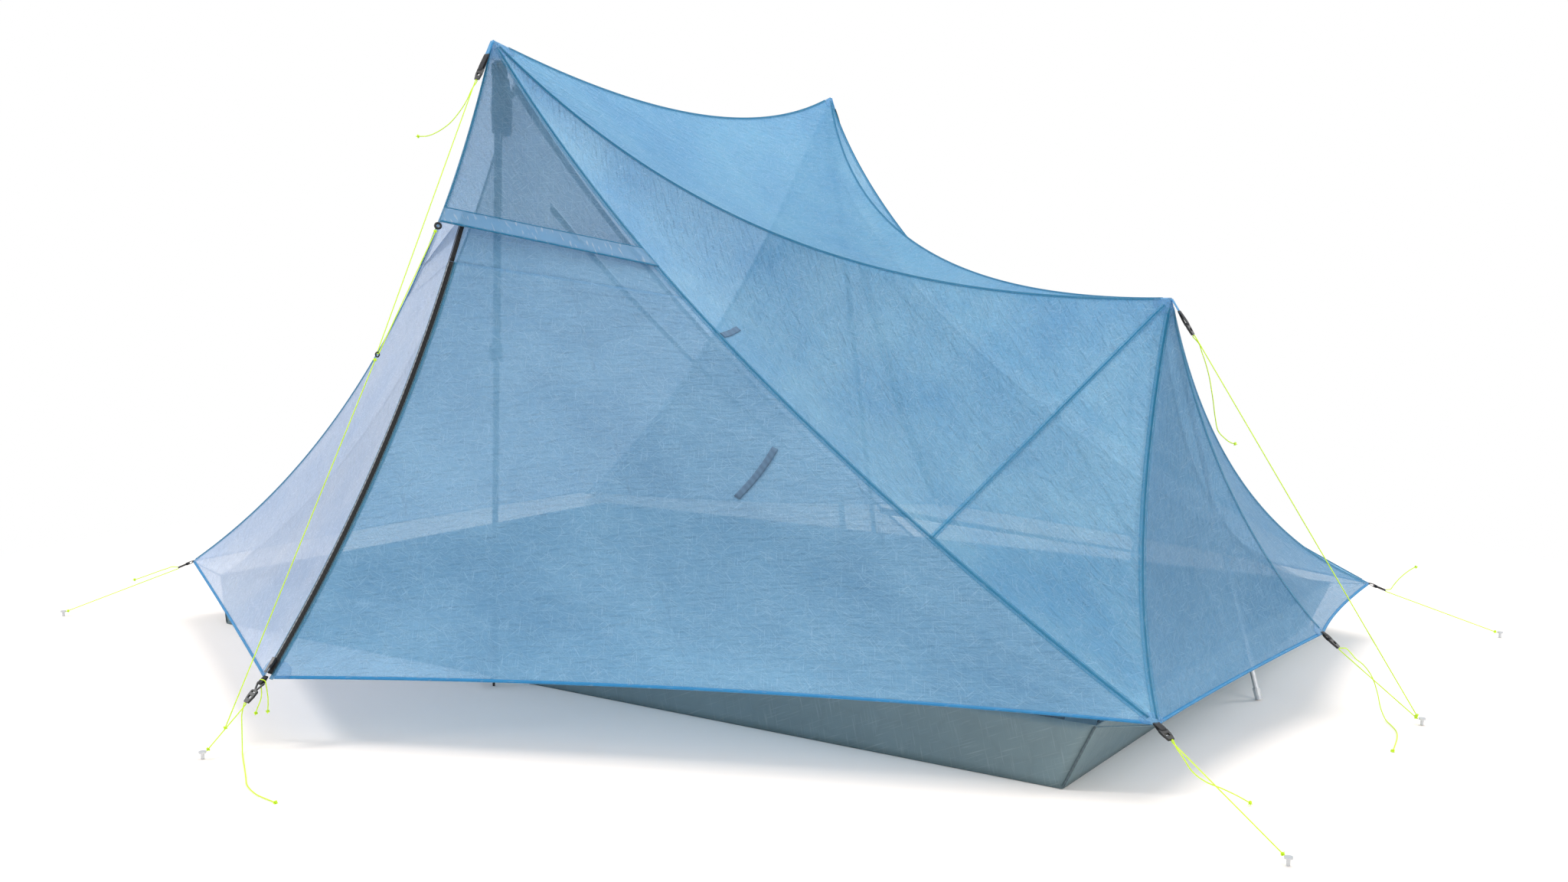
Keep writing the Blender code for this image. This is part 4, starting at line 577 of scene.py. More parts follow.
def clothRows(surface, us, vs, corners=(), seed=0.0, calm=1.0):
    rows = [[surface(u, v) for u in us] for v in vs]
    flat = flattened(rows)
    nv, nu = len(rows), len(rows[0])
    spots = []
    for u, v, count, share in corners:
        j, i = (nv - 1 if v else 0), (nu - 1 if u == 1 else 0 if u == 0 else nu // 2)
        spots.append((*flat[j][i], count, folding["height"] * share))
    moved = []
    for j, row in enumerate(rows):
        width = flat[j][-1][0] - flat[j][0][0]
        tall = flat[-1][0][1]
        line = []
        for i, point in enumerate(row):
            x, y = flat[j][i]
            side = min(i, nu - 1 - i) / (nu - 1) * width
            end = min(y, tall - y)
            pin = smoothStep(side / folding["edge"]) * smoothStep(end / folding["edge"])
            if pin == 0.0:
                line.append(point)
                continue
            a = rows[j][min(i + 1, nu - 1)] - rows[j][max(i - 1, 0)]
            b = rows[min(j + 1, nv - 1)][i] - rows[max(j - 1, 0)][i]
            normal = a.cross(b).normalized()
            soft = noise.noise(Vector((x, y, seed * 3.1)) / folding["waveSize"]) * folding["waveHeight"]
            fine = noise.noise(Vector((x * 1.8, y, seed * 0.7)) / folding["rippleSize"])
            height = soft + fine * folding["rippleHeight"] + creases(x, y, spots, seed)
            line.append(point + normal * pin * calm * height)
        moved.append(line)
    return moved, flat


def lengthOf(route):
    return sum((b - a).length for a, b in zip(route, route[1:]))


def areaOf(rows):
    total = 0.0
    for low, high in zip(rows, rows[1:]):
        for a, b, c, d in zip(low, low[1:], high, high[1:]):
            total += ((b - a).cross(c - a).length + (b - d).cross(c - d).length) / 2
    return total


def flatSize(rows):
    return max(lengthOf(row) for row in rows), max(lengthOf(column) for column in zip(*rows))


sheets, clothGrids = [], {}


def clothPanel(name, grids, material, node, rests, ride=True):
    bm = bmesh.new()
    clothGrids[name] = grids[0][0]
    for rows, flat in grids:
        gridInto(bm, rows, flat)
    sizes = [flatSize(rows) for rows, _ in grids]
    width, length = sum(size[0] for size in sizes), max(size[1] for size in sizes)
    area = sum(areaOf(rows) for rows, _ in grids)
    bmesh.ops.remove_doubles(bm, verts=bm.verts, dist=0.00001)
    piece = finished(name, bm, [material], thick=0.0005, slot="canopy", ride=ride)
    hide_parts(node)
    sheets.append((piece, (width, length), min(area, width * length), "stretched", rests))
    return piece


def sizeSteps(surface, low=0.0, high=1.0, step=folding["step"]):
    wide = max((surface(1, v) - surface(0, v)).length for v in (0, 0.5, 1))
    tall = max((surface(u, high) - surface(u, low)).length for u in (0, 0.5, 1))
    return spread(max(4, round(wide / step))), spread(max(4, round(tall / step)), low, high)


# a pulled corner: its place across and up the panel, its creases' number and height
tip = 0.5  # the corner in the middle of a top row that is one point
pulled = {
    "roof": [(0, 0, 22, 1.0), (1, 0, 22, 1.0), (tip, 1, 26, 1.2)],
    "head": [(0, 1, 22, 1.0), (1, 1, 22, 1.0), (0, 0, 20, 1.0), (1, 0, 20, 1.0)],
    "sideWall": [(tip, 1, 24, 1.1), (0, 0, 18, 1.2), (1, 0, 22, 1.0)],
    "footPanel": [(tip, 1, 18, 1.0), (1, 0, 20, 1.0), (0, 0, 16, 0.8)],
    "hoodFoot": [(tip, 1, 26, 0.7)],
    "hoodHead": [(tip, 1, 26, 0.5)],
    "footDoor": [(0, 0, 20, 1.1), (1, 0, 20, 1.2), (0, 1, 14, 0.8), (1, 1, 14, 0.8)],
    "headDoor": [(0, 0, 20, 1.1), (1, 0, 20, 1.2), (0, 1, 12, 0.7)],
}
grips = ["near_pole_grip", "far_pole_grip"]
roofRows = clothRows(roof, *sizeSteps(roof), pulled["roof"], 1.3)
clothPanel("roof_sheet", [roofRows], film["roof"], "roof_panel", [*grips, "foot_pole"])
headRows = clothRows(headPanel, *sizeSteps(headPanel), pulled["head"], 2.1)
clothPanel("head_sheet", [headRows], film["head"], "head_panel", grips)
for side in (near, far):
    who, s = sideNames[side], surfaces[side]
    for key, name, seed, node, rests in (
        ("sideWall", "side", 3.7, "side_wall", [f"{who}_pole_grip", "foot_pole"]),
        ("footPanel", "foot", 5.2, "foot_panel", ["foot_pole"]),
    ):
        rows = clothRows(s[key], *sizeSteps(s[key]), pulled[key], seed + side)
        clothPanel(f"{who}_{name}_sheet", [rows], film[name], f"{who}_{node}", rests)
    usFoot, vs = sizeSteps(s["hoodFoot"], step=0.009)
    usHead, _ = sizeSteps(s["hoodHead"], step=0.009)
    grids = [
        clothRows(s["hoodFoot"], usFoot, vs, pulled["hoodFoot"], 7.4 + side, 0.6),
        clothRows(s["hoodHead"], usHead, vs, pulled["hoodHead"], 8.3 + side, 0.6),
    ]
    clothPanel(f"{who}_hood_sheet", grids, film["hood"], f"{who}_vent_hood", [f"{who}_pole_grip"])
print("canopy panels made")

# Doors: whole leaves from the zip to the seam

doorCut = {"zipEdge": 0.0085, "bend": 0.20, "bendFrom": -0.012, "waves": 1.1}
jointRows = {row["name"]: row for row in frame["joints"]}


def bendDoor(piece, side, which):
    row = jointRows[f"{sideNames[side]}_{which}_door_hinge"]
    hinge, axis = Vector(row["pos_m"]), Vector(row["axis"]).normalized()
    inside = surfaces[side][f"{which}Door"](0.3, 0.4) - hinge
    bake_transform(piece)


def insetShare(surface, v, distance):
    small = 1 / 200
    edge = (surface(0, v + small) - surface(0, v - small)).normalized()
    inward = (surface(small, v) - surface(0, v)) / small
    return distance / (inward - inward.dot(edge) * edge).length


def fromZip(surface, distance):
    # the same surface, starting a little way in from the zip
    return lambda u, v: surface(u + insetShare(surface, v, distance) * (1 - u), v)


def behind(door, low, high, fall):
    # a strip of the door's surface, set inwards, more so towards its top
    def spot(u, v):
        share = low + (high - fall * u * u - low) * v
        a = door(min(1, u + 0.01), share) - door(max(0, u - 0.01), share)
        out = outwardAt(door(u, share), a, door(u, share + 0.01) - door(u, share - 0.01))
        return door(u, share) - out * (0.0014 + 0.004 * v)

    return spot


for side in (near, far):
    who, s = sideNames[side], surfaces[side]
    for which, cloth, rests in (
        ("foot", film["door"], f"{who}_side_sheet"), ("head", film["head"], "head_sheet"),
    ):
        door = s[f"{which}Door"]
        leaf = fromZip(door, doorCut["zipEdge"])
        us, vs = sizeSteps(leaf, 0.0, canopy["doorTop"])
        rows = clothRows(leaf, us, vs, pulled[f"{which}Door"], 9.5 + side + len(which), doorCut["waves"])
        node = f"{who}_{which}_door"
        piece = clothPanel(f"{node}_sheet", [rows], cloth, node, [rests], False)
        bendDoor(piece, side, which)
        # the fixed cloth above the door, up behind the hood
        low, high = canopy["doorTop"] - canopy["bandLap"], canopy["bandTop"]
        band = behind(door, low, high, high - canopy["bandSide"])
        rows = clothRows(band, spread(40), spread(8), calm=0.0)
        clothPanel(f"{who}_{which}_band_sheet", [rows], cloth, "canopy_seams", [f"{who}_hood_sheet"])
print("doors made")

# Seams, hems and tapes: narrow strips laid along an edge, over the cloth on one or both sides

seamCut = {"tape": 0.0075, "core": 0.0022, "lift": 0.0007, "crown": 0.0009, "thick": 0.0004, "step": 0.012}
wide, core = seamCut["tape"], seamCut["core"]
tapeOffsets, tapeColumns = (-wide, -core, 0, core, wide), (0, 1, 1, 0)
thinOffsets = (-wide * 0.6, -core, 0, core, wide * 0.6)
creaseOffsets = (-0.003, -0.001, 0, 0.001, 0.003)
onTop = {"thick": seamCut["thick"], "offset": 1.0, "slot": "seam_tape"}


def fromEdge(face, edge, backwards=False):
    # steps over a surface: a share t along one edge, and a share e in from it
    def step(t, e):
        t = 1 - t if backwards else t
        return face(*{"left": (e, t), "right": (1 - e, t), "low": (t, e), "top": (t, 1 - e)}[edge])

    return step


def splitStep(share, lower, upper):
    # one neighbour up to a share of the seam, another beyond it
    return lambda t, e: lower(t / share, e) if t < share else upper((1 - t) / (1 - share), e)


def acrossFrom(curve, step, t):
    # the way from an edge into a panel, square to the edge
    small = 1 / 150
    low, high = max(0.0, t - small), min(1.0, t + small)
    tangent = (curve(high) - curve(low)).normalized()
    inward = step(t, small) - curve(t)
    return (inward - inward.dot(tangent) * tangent).normalized(), tangent


def stripRows(curve, steps, offsets, low, high, lift, crown=0.0):
    length = lengthOf([curve(t) for t in spread(30)]) * (high - low)
    rows = []
    for t in spread(max(8, round(length / seamCut["step"])), low, high):
        ways = []
        for step in steps:
            inward, tangent = acrossFrom(curve, step, t)
            ways.append((inward, outwardAt(curve(t), tangent, inward)))
        rise = (ways[0][1] + ways[-1][1]).normalized()
        row = []
        for offset in offsets:
            inward, out = ways[0] if offset < 0 else ways[-1]
            spot = rise * (lift + crown) if offset == 0 else inward * abs(offset) + out * lift
            row.append(curve(t) + spot)
        rows.append(row)
    return rows


def seamPiece(name, curve, steps, low, high, offsets, node="canopy_seams"):
    rows = stripRows(curve, steps, offsets, low, high, seamCut["lift"], seamCut["crown"])
    gridPiece(name, [rows], [seamTape, seamCore], node, columns=tapeColumns, **onTop)


# the stitched line from the foot peak down to the door seam
brace = {
    "foot": 0.782,
    "steps": 70,
    "lift": 0.0022,
    "rows": ((-0.0055, 0.0), (-0.0012, 0.0), (0, 0.0006), (0.0012, 0.0), (0.0055, 0.0)),
}


def braceSpots(wall, side, start, end):
    # where the plane through the two ends and the photograph's viewpoint cuts the cloth
    eye = Vector(view["place"])
    eye.y *= side
    flank = (end - start).cross(eye - start).normalized()
    spots = []
    for u in spread(brace["steps"], 1.0, 0.0):
        low, high = -0.02, 0.6
        above = (wall(u, high) - start).dot(flank)
        for _ in range(30):
            v = (low + high) / 2
            if (wall(u, v) - start).dot(flank) * above > 0:
                high = v
            else:
                low = v
        spots.append((u, max(0.0, v)))
    return spots[1:]


def braceRows(wall, spots):
    small, rows = 1 / 200, []
    for k, (u, v) in enumerate(spots):
        (u0, v0), (u1, v1) = spots[max(0, k - 1)], spots[min(len(spots) - 1, k + 1)]
        along = (wall(u1, v1) - wall(u0, v0)).normalized()
        a = wall(min(1, u + small), v) - wall(max(0, u - small), v)
        out = outwardAt(wall(u, v), a, wall(u, v + small) - wall(u, max(0.0, v - small)))
        across = along.cross(out)
        spot, lift = wall(u, v), brace["lift"]
        rows.append([spot + across * offset + out * (lift + rise) for offset, rise in brace["rows"]])
    return rows


for side in (near, far):
    who, s, line = sideNames[side], surfaces[side], lines[side]
    inner = "left" if side == near else "right"
    byDoor = splitStep(
        canopy["hoodFootShare"], fromEdge(s["hoodFoot"], "left", True), fromEdge(s["footDoor"], "right")
    )
    byHead = splitStep(
        canopy["hoodHeadShare"], fromEdge(s["hoodHead"], "right", True), fromEdge(s["headDoor"], "right")
    )
    bySide = {edge: fromEdge(s["sideWall"], edge, True) for edge in ("left", "right", "low")}
    head, top = fromEdge(headPanel, inner, True), fromEdge(roof, inner)
    foot, hood = fromEdge(s["footPanel"], "right", True), fromEdge(s["hoodFoot"], "right", True)
    crest = fromEdge(s["hoodHead"], "left", True)
    seamPiece(f"{who}_door_seam", line["doorSeam"], [byDoor, bySide["left"]], 0.012, 0.992, tapeOffsets)
    seamPiece(f"{who}_head_seam", line["headSeam"], [byHead, head], 0.012, 0.992, tapeOffsets)
    seamPiece(f"{who}_ridge_seam", line["ridge"], [bySide["right"], top], 0.012, 0.988, thinOffsets)
    seamPiece(f"{who}_foot_seam", line["footSeam"], [foot, bySide["low"]], 0.02, 0.985, tapeOffsets)
    seamPiece(
        f"{who}_hood_crease", line["hoodRidge"], [hood, crest], 0.04, 0.99, creaseOffsets, f"{who}_vent_hood"
    )
    spots = braceSpots(s["sideWall"], side, points[side]["footPeak"], line["doorSeam"](brace["foot"]))
    rows = braceRows(s["sideWall"], spots)
    gridPiece(
        f"{who}_brace_seam", [rows], [seamTape, seamCore], f"{who}_side_wall", columns=tapeColumns, **onTop
    )
crease = lines[near]["footCrease"]
footSteps = [fromEdge(surfaces[side]["footPanel"], "left", True) for side in (near, far)]
seamPiece("crown_seam", crown, [fromEdge(headPanel, "top"), fromEdge(roof, "low")], 0.03, 0.97, thinOffsets)
seamPiece("foot_crease_seam", crease, footSteps, 0.03, 0.98, thinOffsets)
print("seams made")

hemCut = {"width": 0.0055, "over": 0.0006, "thick": 0.0005, "zipWidth": 0.007}


def hemPiece(
    name, curve, step, low, high, node, width=hemCut["width"], material=hemTape, body="root", ride=True
):
    # a doubled edge: one strip outside the cloth and one inside it
    offsets = (0, width * 0.5, width)
    over, thick = hemCut["over"], hemCut["thick"]
    grids = [stripRows(curve, [step], offsets, low, high, lift) for lift in (over, -over)]
    return gridPiece(name, grids, [material], node, body, thick=thick, slot="seam_tape", ride=ride)


# the hood's hem: a deep doubled band, puckered along its stitches
hoodHem = {
    "depths": (0.0, 0.002, 0.010, 0.020, 0.030, 0.0365, 0.038),
    "step": 0.008,
    "lift": 0.0012,
    "pucker": 0.0005,
    "rib": 0.0006,
    "edge": ((0, 0.0016, 0.0034), 0.0020),
    "stitch": ((0, 0.0008, 0.0016), 0.0022),
}


def bandRows(face, tall):
    rows = []
    for k, depth in enumerate(hoodHem["depths"]):
        v, row = depth / tall, []
        for i, u in enumerate(spread(round((face(1, 0) - face(0, 0)).length / hoodHem["step"]))):
            a = face(min(1, u + 0.01), v) - face(max(0, u - 0.01), v)
            out = outwardAt(face(u, v), a, face(u, v + 0.01) - face(u, v))
            pucker = hoodHem["pucker"] * math.sin(i * 2.1 + depth * 300) if 0 < k < 6 else 0.0
            rib = hoodHem["rib"] if k in (1, 5) else 0.0
            row.append(face(u, v) + out * (hoodHem["lift"] + pucker + rib))
        rows.append(row)
    return rows


def hoodHemRows(face, depth, offsets, lift):
    return stripRows(lambda t: face(t, depth), [lambda t, e: face(t, depth + e)], offsets, 0.0, 1.0, lift)


for side in (near, far):
    who, s, line = sideNames[side], surfaces[side], lines[side]
    for which, hem in (("foot", "doorHem"), ("head", "headDoorHem")):
        door, node = s[f"{which}Door"], f"{who}_{which}_door"
        piece = hemPiece(f"{node}_hem", line[hem], fromEdge(door, "low"), 0.012, 0.992, node, ride=False)
        bendDoor(piece, side, which)
        # the tape that the zip is sewn to, along the door's edge
        edge = fromZip(door, doorCut["zipEdge"])
        hemPiece(
            f"{who}_{which}_zip_edge", lambda t, edge=edge: edge(0, t * canopy["doorTop"]),
            lambda t, e, edge=edge: edge(e, t * canopy["doorTop"]), 0.0, 1.0,
            f"{who}_{which}_zip", hemCut["zipWidth"], seamTape, node,
        )
    step = fromEdge(s["footPanel"], "low")
    hemPiece(f"{who}_foot_hem", line["footHem"], step, 0.02, 0.985, f"{who}_foot_panel")
    bands, strips = [], []
    for face in (s["hoodFoot"], s["hoodHead"]):
        tall = (face(0.5, 0.1) - face(0.5, 0)).length * 10
        bands.append(bandRows(face, tall))
        strips.append(hoodHemRows(face, 0, *hoodHem["edge"]))
        strips.append(hoodHemRows(face, hoodHem["depths"][5] / tall, *hoodHem["stitch"]))
    gridPiece(f"{who}_hood_band", bands, [hoodBand], f"{who}_vent_hood", **onTop)
    gridPiece(f"{who}_hood_hem", strips, [seamCore], f"{who}_vent_hood", **onTop)
hemPiece("head_hem", lines[near]["headHem"], fromEdge(headPanel, "low"), 0.01, 0.99, "head_panel")
print("hems made")

# Corner patches: doubled cloth, rounded, on each panel that meets at a corner

patchCut = {
    "peak": 0.040, "footPeak": 0.035, "corner": 0.024, "door": 0.034, "doorFrom": 0.012, "lift": 0.0010,
}


def tipRows(face, radius):
    # at a panel whose top row is one point
    rows, small = [], 1 / 200
    for r in spread(5):
        row = []
        for u in spread(8):
            steep = (face(u, 1) - face(u, 1 - small)).length / small
            v = 1 - radius * (1 - r) / steep
            a = face(min(1, u + 0.05), v - small) - face(max(0, u - 0.05), v - small)
            out = outwardAt(face(0.5, 0.8), a, face(u, v) - face(u, v - small))
            row.append(face(u, v) + out * patchCut["lift"])
        rows.append(row)
    return rows


def cornerRows(face, cornerU, cornerV, radius):
    # a quarter disc at a panel's square corner
    small = 1 / 200
    stepU, stepV = (small if cornerU == 0 else -small), (small if cornerV == 0 else -small)
    corner = face(cornerU, cornerV)
    perU = (face(cornerU + stepU, cornerV) - corner) / small
    perV = (face(cornerU, cornerV + stepV) - corner) / small
    out = outwardAt(corner, perU, perV)
    rows = []
    for r in spread(5):
        row = []
        for k in spread(8):
            turn = k * math.pi / 2
            du, dv = radius * r * math.cos(turn) / perU.length, radius * r * math.sin(turn) / perV.length
            spot = face(cornerU + du * stepU / small, cornerV + dv * stepV / small)
            row.append(spot + out * patchCut["lift"])
        rows.append(row)
    return rows


def patchPiece(name, grids, node="canopy_seams", body="root", ride=True):
    return gridPiece(name, grids, [patchTape], node, body, **onTop, ride=ride)


peakSize, footPeakSize, cornerSize = patchCut["peak"], patchCut["footPeak"], patchCut["corner"]
for side in (near, far):
    who, s, atSide = sideNames[side], surfaces[side], 0 if side == near else 1
    peakGrids = [tipRows(s[key], peakSize) for key in ("sideWall", "hoodFoot", "hoodHead")]
    peakGrids += [cornerRows(roof, atSide, 0, peakSize), cornerRows(headPanel, atSide, 1, peakSize)]
    patchPiece(f"{who}_peak_patch", peakGrids)
    patchPiece(f"{who}_head_patch", [cornerRows(headPanel, atSide, 0, cornerSize)])
    footGrids = [cornerRows(s["sideWall"], 0, 0, cornerSize), cornerRows(s["footPanel"], 1, 0, cornerSize)]
    patchPiece(f"{who}_foot_patch", footGrids)
    for which in ("foot", "head"):
        door, node = s[f"{which}Door"], f"{who}_{which}_door"
        rows = cornerRows(door, 1, 0, cornerSize)
        bendDoor(patchPiece(f"{node}_corner", [rows], node, ride=False), side, which)
        rows = cornerRows(fromZip(door, patchCut["doorFrom"]), 0, 0, patchCut["door"])
        patchPiece(f"{node}_patch", [rows], node, node)
footGrids = [tipRows(roof, footPeakSize)]
for side in (near, far):
    footGrids.append(tipRows(surfaces[side]["footPanel"], footPeakSize))
    footGrids.append(cornerRows(surfaces[side]["sideWall"], 1, 0, footPeakSize))
patchPiece("foot_peak_patch", footGrids)
centreGrids = [cornerRows(surfaces[side]["footPanel"], 0, 0, cornerSize) for side in (near, far)]
patchPiece("foot_centre_patch", centreGrids)
print("patches made")


def wireCurve(name, route, radius, material, closed=False, resolution=3):
    curve = bpy.data.curves.new(name, "CURVE")
    curve.dimensions, curve.bevel_depth, curve.bevel_resolution = "3D", radius, resolution
    curve.use_fill_caps = not closed
    spline = curve.splines.new("POLY")
    spline.points.add(len(route) - 1)
    spline.use_cyclic_u = closed
    for point, spot in zip(spline.points, route):
        point.co = (*spot, 1.0)
    curve.materials.append(material)
    wire = bpy.data.objects.new(name, curve)
    bpy.context.scene.collection.objects.link(wire)
    return wire


def dressWire(wire, body, node):
    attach(wire, body)
    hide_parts(node)


# Zips: two black tapes with a fine coil, the light catching their meeting edge

zipCut = {
    "from": {"foot": 0.012, "head": 0.024},
    "tape": ((0.0005, 0.0045, 0.0088, 0.016), (0.0012, 0.0012, 0.0006, -0.0010)),
    "top": ((0.0, 0.0045, 0.0088), (0.0012, 0.0012, 0.0006)),
    "shine": ((-0.0009, 0.0, 0.0009), (0.0016, 0.0021, 0.0016)),
    "coil": ((0.0,), (-0.0016,)),
    "coilRadius": 0.0017,
    "wire": 0.0005,
    "turnSteps": 4,
}
onZip = {"thick": 0.0005, "slot": "zip_tape"}


def zipRows(door, low, distances, out, steps=70, high=canopy["doorTop"]):
    rows, small = [], 1 / 50
    for v in spread(steps, low, high):
        along = (door(0, v + small) - door(0, v - small)).normalized()
        inward = door(small, v) - door(0, v)
        inward = (inward - inward.dot(along) * along).normalized()
        normal = outwardAt(door(0, v), along, inward)
        rows.append([door(0, v) + inward * d + normal * h for d, h in zip(distances, out)])
    return rows


for side in (near, far):
    who = sideNames[side]
    for which in ("foot", "head"):
        door, name = surfaces[side][f"{which}Door"], f"{who}_{which}_zip"
        rows = zipRows(door, zipCut["from"][which], *zipCut["tape"])
        gridPiece(f"{name}_tape", [rows], [zipTrim], name, f"{who}_{which}_door", **onZip)
        # its last stretch is fixed, above the door and behind the hood
        rows = zipRows(door, canopy["doorTop"] + 0.001, *zipCut["top"], 10, canopy["bandTop"] - 0.004)
        gridPiece(f"{name}_top", [rows], [zipTrim], "canopy_seams", **onZip)
    door, name, body = surfaces[side]["footDoor"], f"{who}_foot_zip", f"{who}_foot_door"
    rows = zipRows(door, zipCut["from"]["foot"], *zipCut["shine"])
    gridPiece(f"{who}_zip_shine", [rows], [zipShine], name, body, thick=0.0003, slot="zip_tape")
    # the coil: one wire wound along the meeting edge, on the inside
    centre = [row[0] for row in zipRows(door, zipCut["from"]["foot"], *zipCut["coil"], 400)]
    wound, sideways = [], Vector((1.0, 0.0, 0.0))
    for k in range(len(centre) - 1):
        deep = (centre[k + 1] - centre[k]).normalized().cross(sideways).normalized()
        angle = k * 2 * math.pi / zipCut["turnSteps"]
        away = math.cos(angle) * sideways + math.sin(angle) * deep
        wound.append(centre[k] + zipCut["coilRadius"] * away)
    coil = wireCurve(f"{who}_zip_coil", wound, zipCut["wire"], blackTrim, resolution=1)
    dressWire(coil, body, name)
print("zips made")

# Webbing at the tie-outs: a loop sewn to each corner, round the bar of its tensioner

tieOuts = {
    "root": 0.006,
    "tab": 0.005,
    "width": 0.012,
    "gap": 0.0003,
    "bar": 0.0028,
    "slot": 0.0032,
    "buckle": 0.026,
    "peak": (0.040, 0.028),  # where the loop starts and how long it is
    "footPeak": (0.035, 0.022),
    "corner": (0.0, 0.010),
    "apex": (0.0, 0.0066),
    "apexWidth": 0.010,
}
stakes = {
    "head": (-1.423, -0.866), "apex": (-0.222, -1.367), "corner": (1.432, -0.824), "centre": (1.437, 0.0),
}


def frameAt(place, along, outward):
    x = along.normalized()
    z = (outward - outward.dot(x) * x).normalized()
    return Matrix.Translation(place) @ Matrix((x, z.cross(x), z)).transposed().to_4x4()


def guyFrame(corner, stake, side, outward):
    target = Vector((stake[0], stake[1] * side, 0.0))
    return frameAt(corner, target - corner, Vector(outward))


rigs, upward = {}, (0, 0, 1)
for side in (near, far):
    who, p = sideNames[side], points[side]
    for name, corner, stake, outward, size in (
        ("peak", "peak", "apex", (0, -side, 0), "peak"),
        ("foot", "footCorner", "corner", upward, "corner"),
        ("head", "headCorner", "head", upward, "corner"),
    ):
        rigs[f"{who}_{name}"] = (guyFrame(p[corner], stakes[stake], side, outward), *tieOuts[size])
footPeak, footCentre = points[near]["footPeak"], points[near]["footCentre"]
rigs["foot_peak"] = (guyFrame(footPeak, stakes["centre"], near, (1, 0, 0)), *tieOuts["footPeak"])
rigs["foot_centre"] = (guyFrame(footCentre, stakes["centre"], near, upward), *tieOuts["corner"])


def flatRows(place, xs, ys):
    return [[place @ Vector((x, y, 0.0)) for y in ys] for x in xs]


def loopPiece(name, place, start, length, node, body="root", width=tieOuts["width"]):
    # out above, round the bar and back below, as one strip
    bar = start + length + tieOuts["gap"] + tieOuts["bar"] + tieOuts["slot"] / 2
    back, half = start - tieOuts["root"], width / 2
    above = [(back, 0.0006), (back + 0.004, 0.0012), (start + length * 0.7, 0.0026), (bar - 0.0008, 0.0027)]
    above.append((bar + 0.0003, 0.0020))
    path = [*above, (bar + 0.0006, 0.0), *[(x, -z) for x, z in above[::-1]]]
    rows = [[place @ Vector((x, y, z)) for y in (-half, -half / 2, 0.0, half / 2, half)] for x, z in path]
    out = place.col[2].to_3d()
    gridPiece(name, [rows], [blackTrim], node, body, outward=out, thick=0.0009, slot="black_plastic")


for name, (place, start, length) in rigs.items():
    loopPiece(f"{name}_loop", place, start, length, "canopy_seams")
    if start:
        # a tab of hem cloth joins the loop to the peak
        tab, out = tieOuts["tab"], place.col[2].to_3d()
        rows = flatRows(place, spread(6, 0.002, start + 0.001), (-tab, 0.0, tab))
        finish = {"thick": 0.001, "slot": "seam_tape"}
        gridPiece(f"{name}_tab", [rows], [hemTape], "canopy_seams", outward=out, **finish)
for side in (near, far):
    who = sideNames[side]
    place = guyFrame(points[side]["apex"], stakes["apex"], side, (0, -side, 1))
    node, body = f"{who}_foot_zip", f"{who}_foot_door"
    loopPiece(f"{who}_apex_loop", place, *tieOuts["apex"], node, body, tieOuts["apexWidth"])
print("webbing made")

# Inner tent: bathtub floor, net walls with their doors, and the dark piping along their edges

tub = {
    "head": -1.040, "foot": 1.040, "half": 0.700, "under": 0.0006,
    "rimHead": -1.070, "rimFoot": 1.090, "rimHalf": 0.690, "wall": 0.110,
    "seam": ((-0.0022, -0.0012), (-0.0008, 0.0004), (0.0008, 0.0004), (0.0022, -0.0012)),
}


def tubCorners(head, foot, half, z):
    return [Vector((x, y * half, z)) for x, y in ((head, -1), (foot, -1), (foot, 1), (head, 1))]


base = tubCorners(tub["head"], tub["foot"], tub["half"], tub["under"])
rim = tubCorners(tub["rimHead"], tub["rimFoot"], tub["rimHalf"], tub["wall"])


def between(a, b, c, d):
    # the surface between four corners
    return coons(straight(a, b), straight(c, d), straight(a, c), straight(b, d))


def tubWallRows(k):
    m = (k + 1) % 4
    wall = between(base[k], base[m], rim[k], rim[m])
    rows = []
    for v in spread(8):
        row = []
        for u in spread(90 if k % 2 == 0 else 60):
            spot = wall(u, v)
            out = outwardAt(spot, wall(u, 1) - wall(u, 0), wall(1, v) - wall(0, v))
            pin = smoothStep(v * 2.5) * smoothStep((1 - v) * 2.5)
            pin = pin * smoothStep(u * 30) * smoothStep((1 - u) * 30)
            wave = noise.noise(spot * 7.0 + Vector((k, 0, 0))) * 0.005 + noise.noise(spot * 26.0) * 0.0018
            row.append(spot + out * pin * (wave - 0.001))
        rows.append(row)
    return rows


under = between(base[0], base[1], base[3], base[2])
grids = [[[under(u, v) for u in spread(90)] for v in spread(60)], *[tubWallRows(k) for k in range(4)]]
bm = bmesh.new()
for index, rows in enumerate(grids):
    middle = rows[4][len(rows[0]) // 2]
    gridInto(bm, rows, outward=Vector((middle.x, middle.y, 0.0)) if index else Vector((0, 0, -1)))
bmesh.ops.remove_doubles(bm, verts=bm.verts, dist=0.00001)
floorPiece = finished("tub_sheet", bm, [floorFilm], thick=0.0008, slot="floor")
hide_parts("bathtub_floor")
tubFlat = (2 * tub["half"] + 2 * tub["wall"], tub["foot"] - tub["head"] + 2 * tub["wall"])
sheets.append((floorPiece, tubFlat, sum(areaOf(rows) for rows in grids), "laid", ["near_mesh_sheet"]))
for k, name in enumerate(("near_head", "near_foot", "far_foot", "far_head")):
    rail = straight(base[k], rim[k])
    lean = Vector((base[k].x, base[k].y, 0)).normalized()
    sideways = lean.cross(Vector((0, 0, 1)))
    rows = [[rail(t) + sideways * s + lean * h for s, h in tub["seam"]] for t in spread(10, 0.02, 0.985)]
    finish = {"thick": 0.0005, "offset": 1.0, "slot": "floor"}
    gridPiece(f"{name}_tub_seam", [rows], [tubPiping], "bathtub_floor", outward=lean, **finish)
print("floor made")

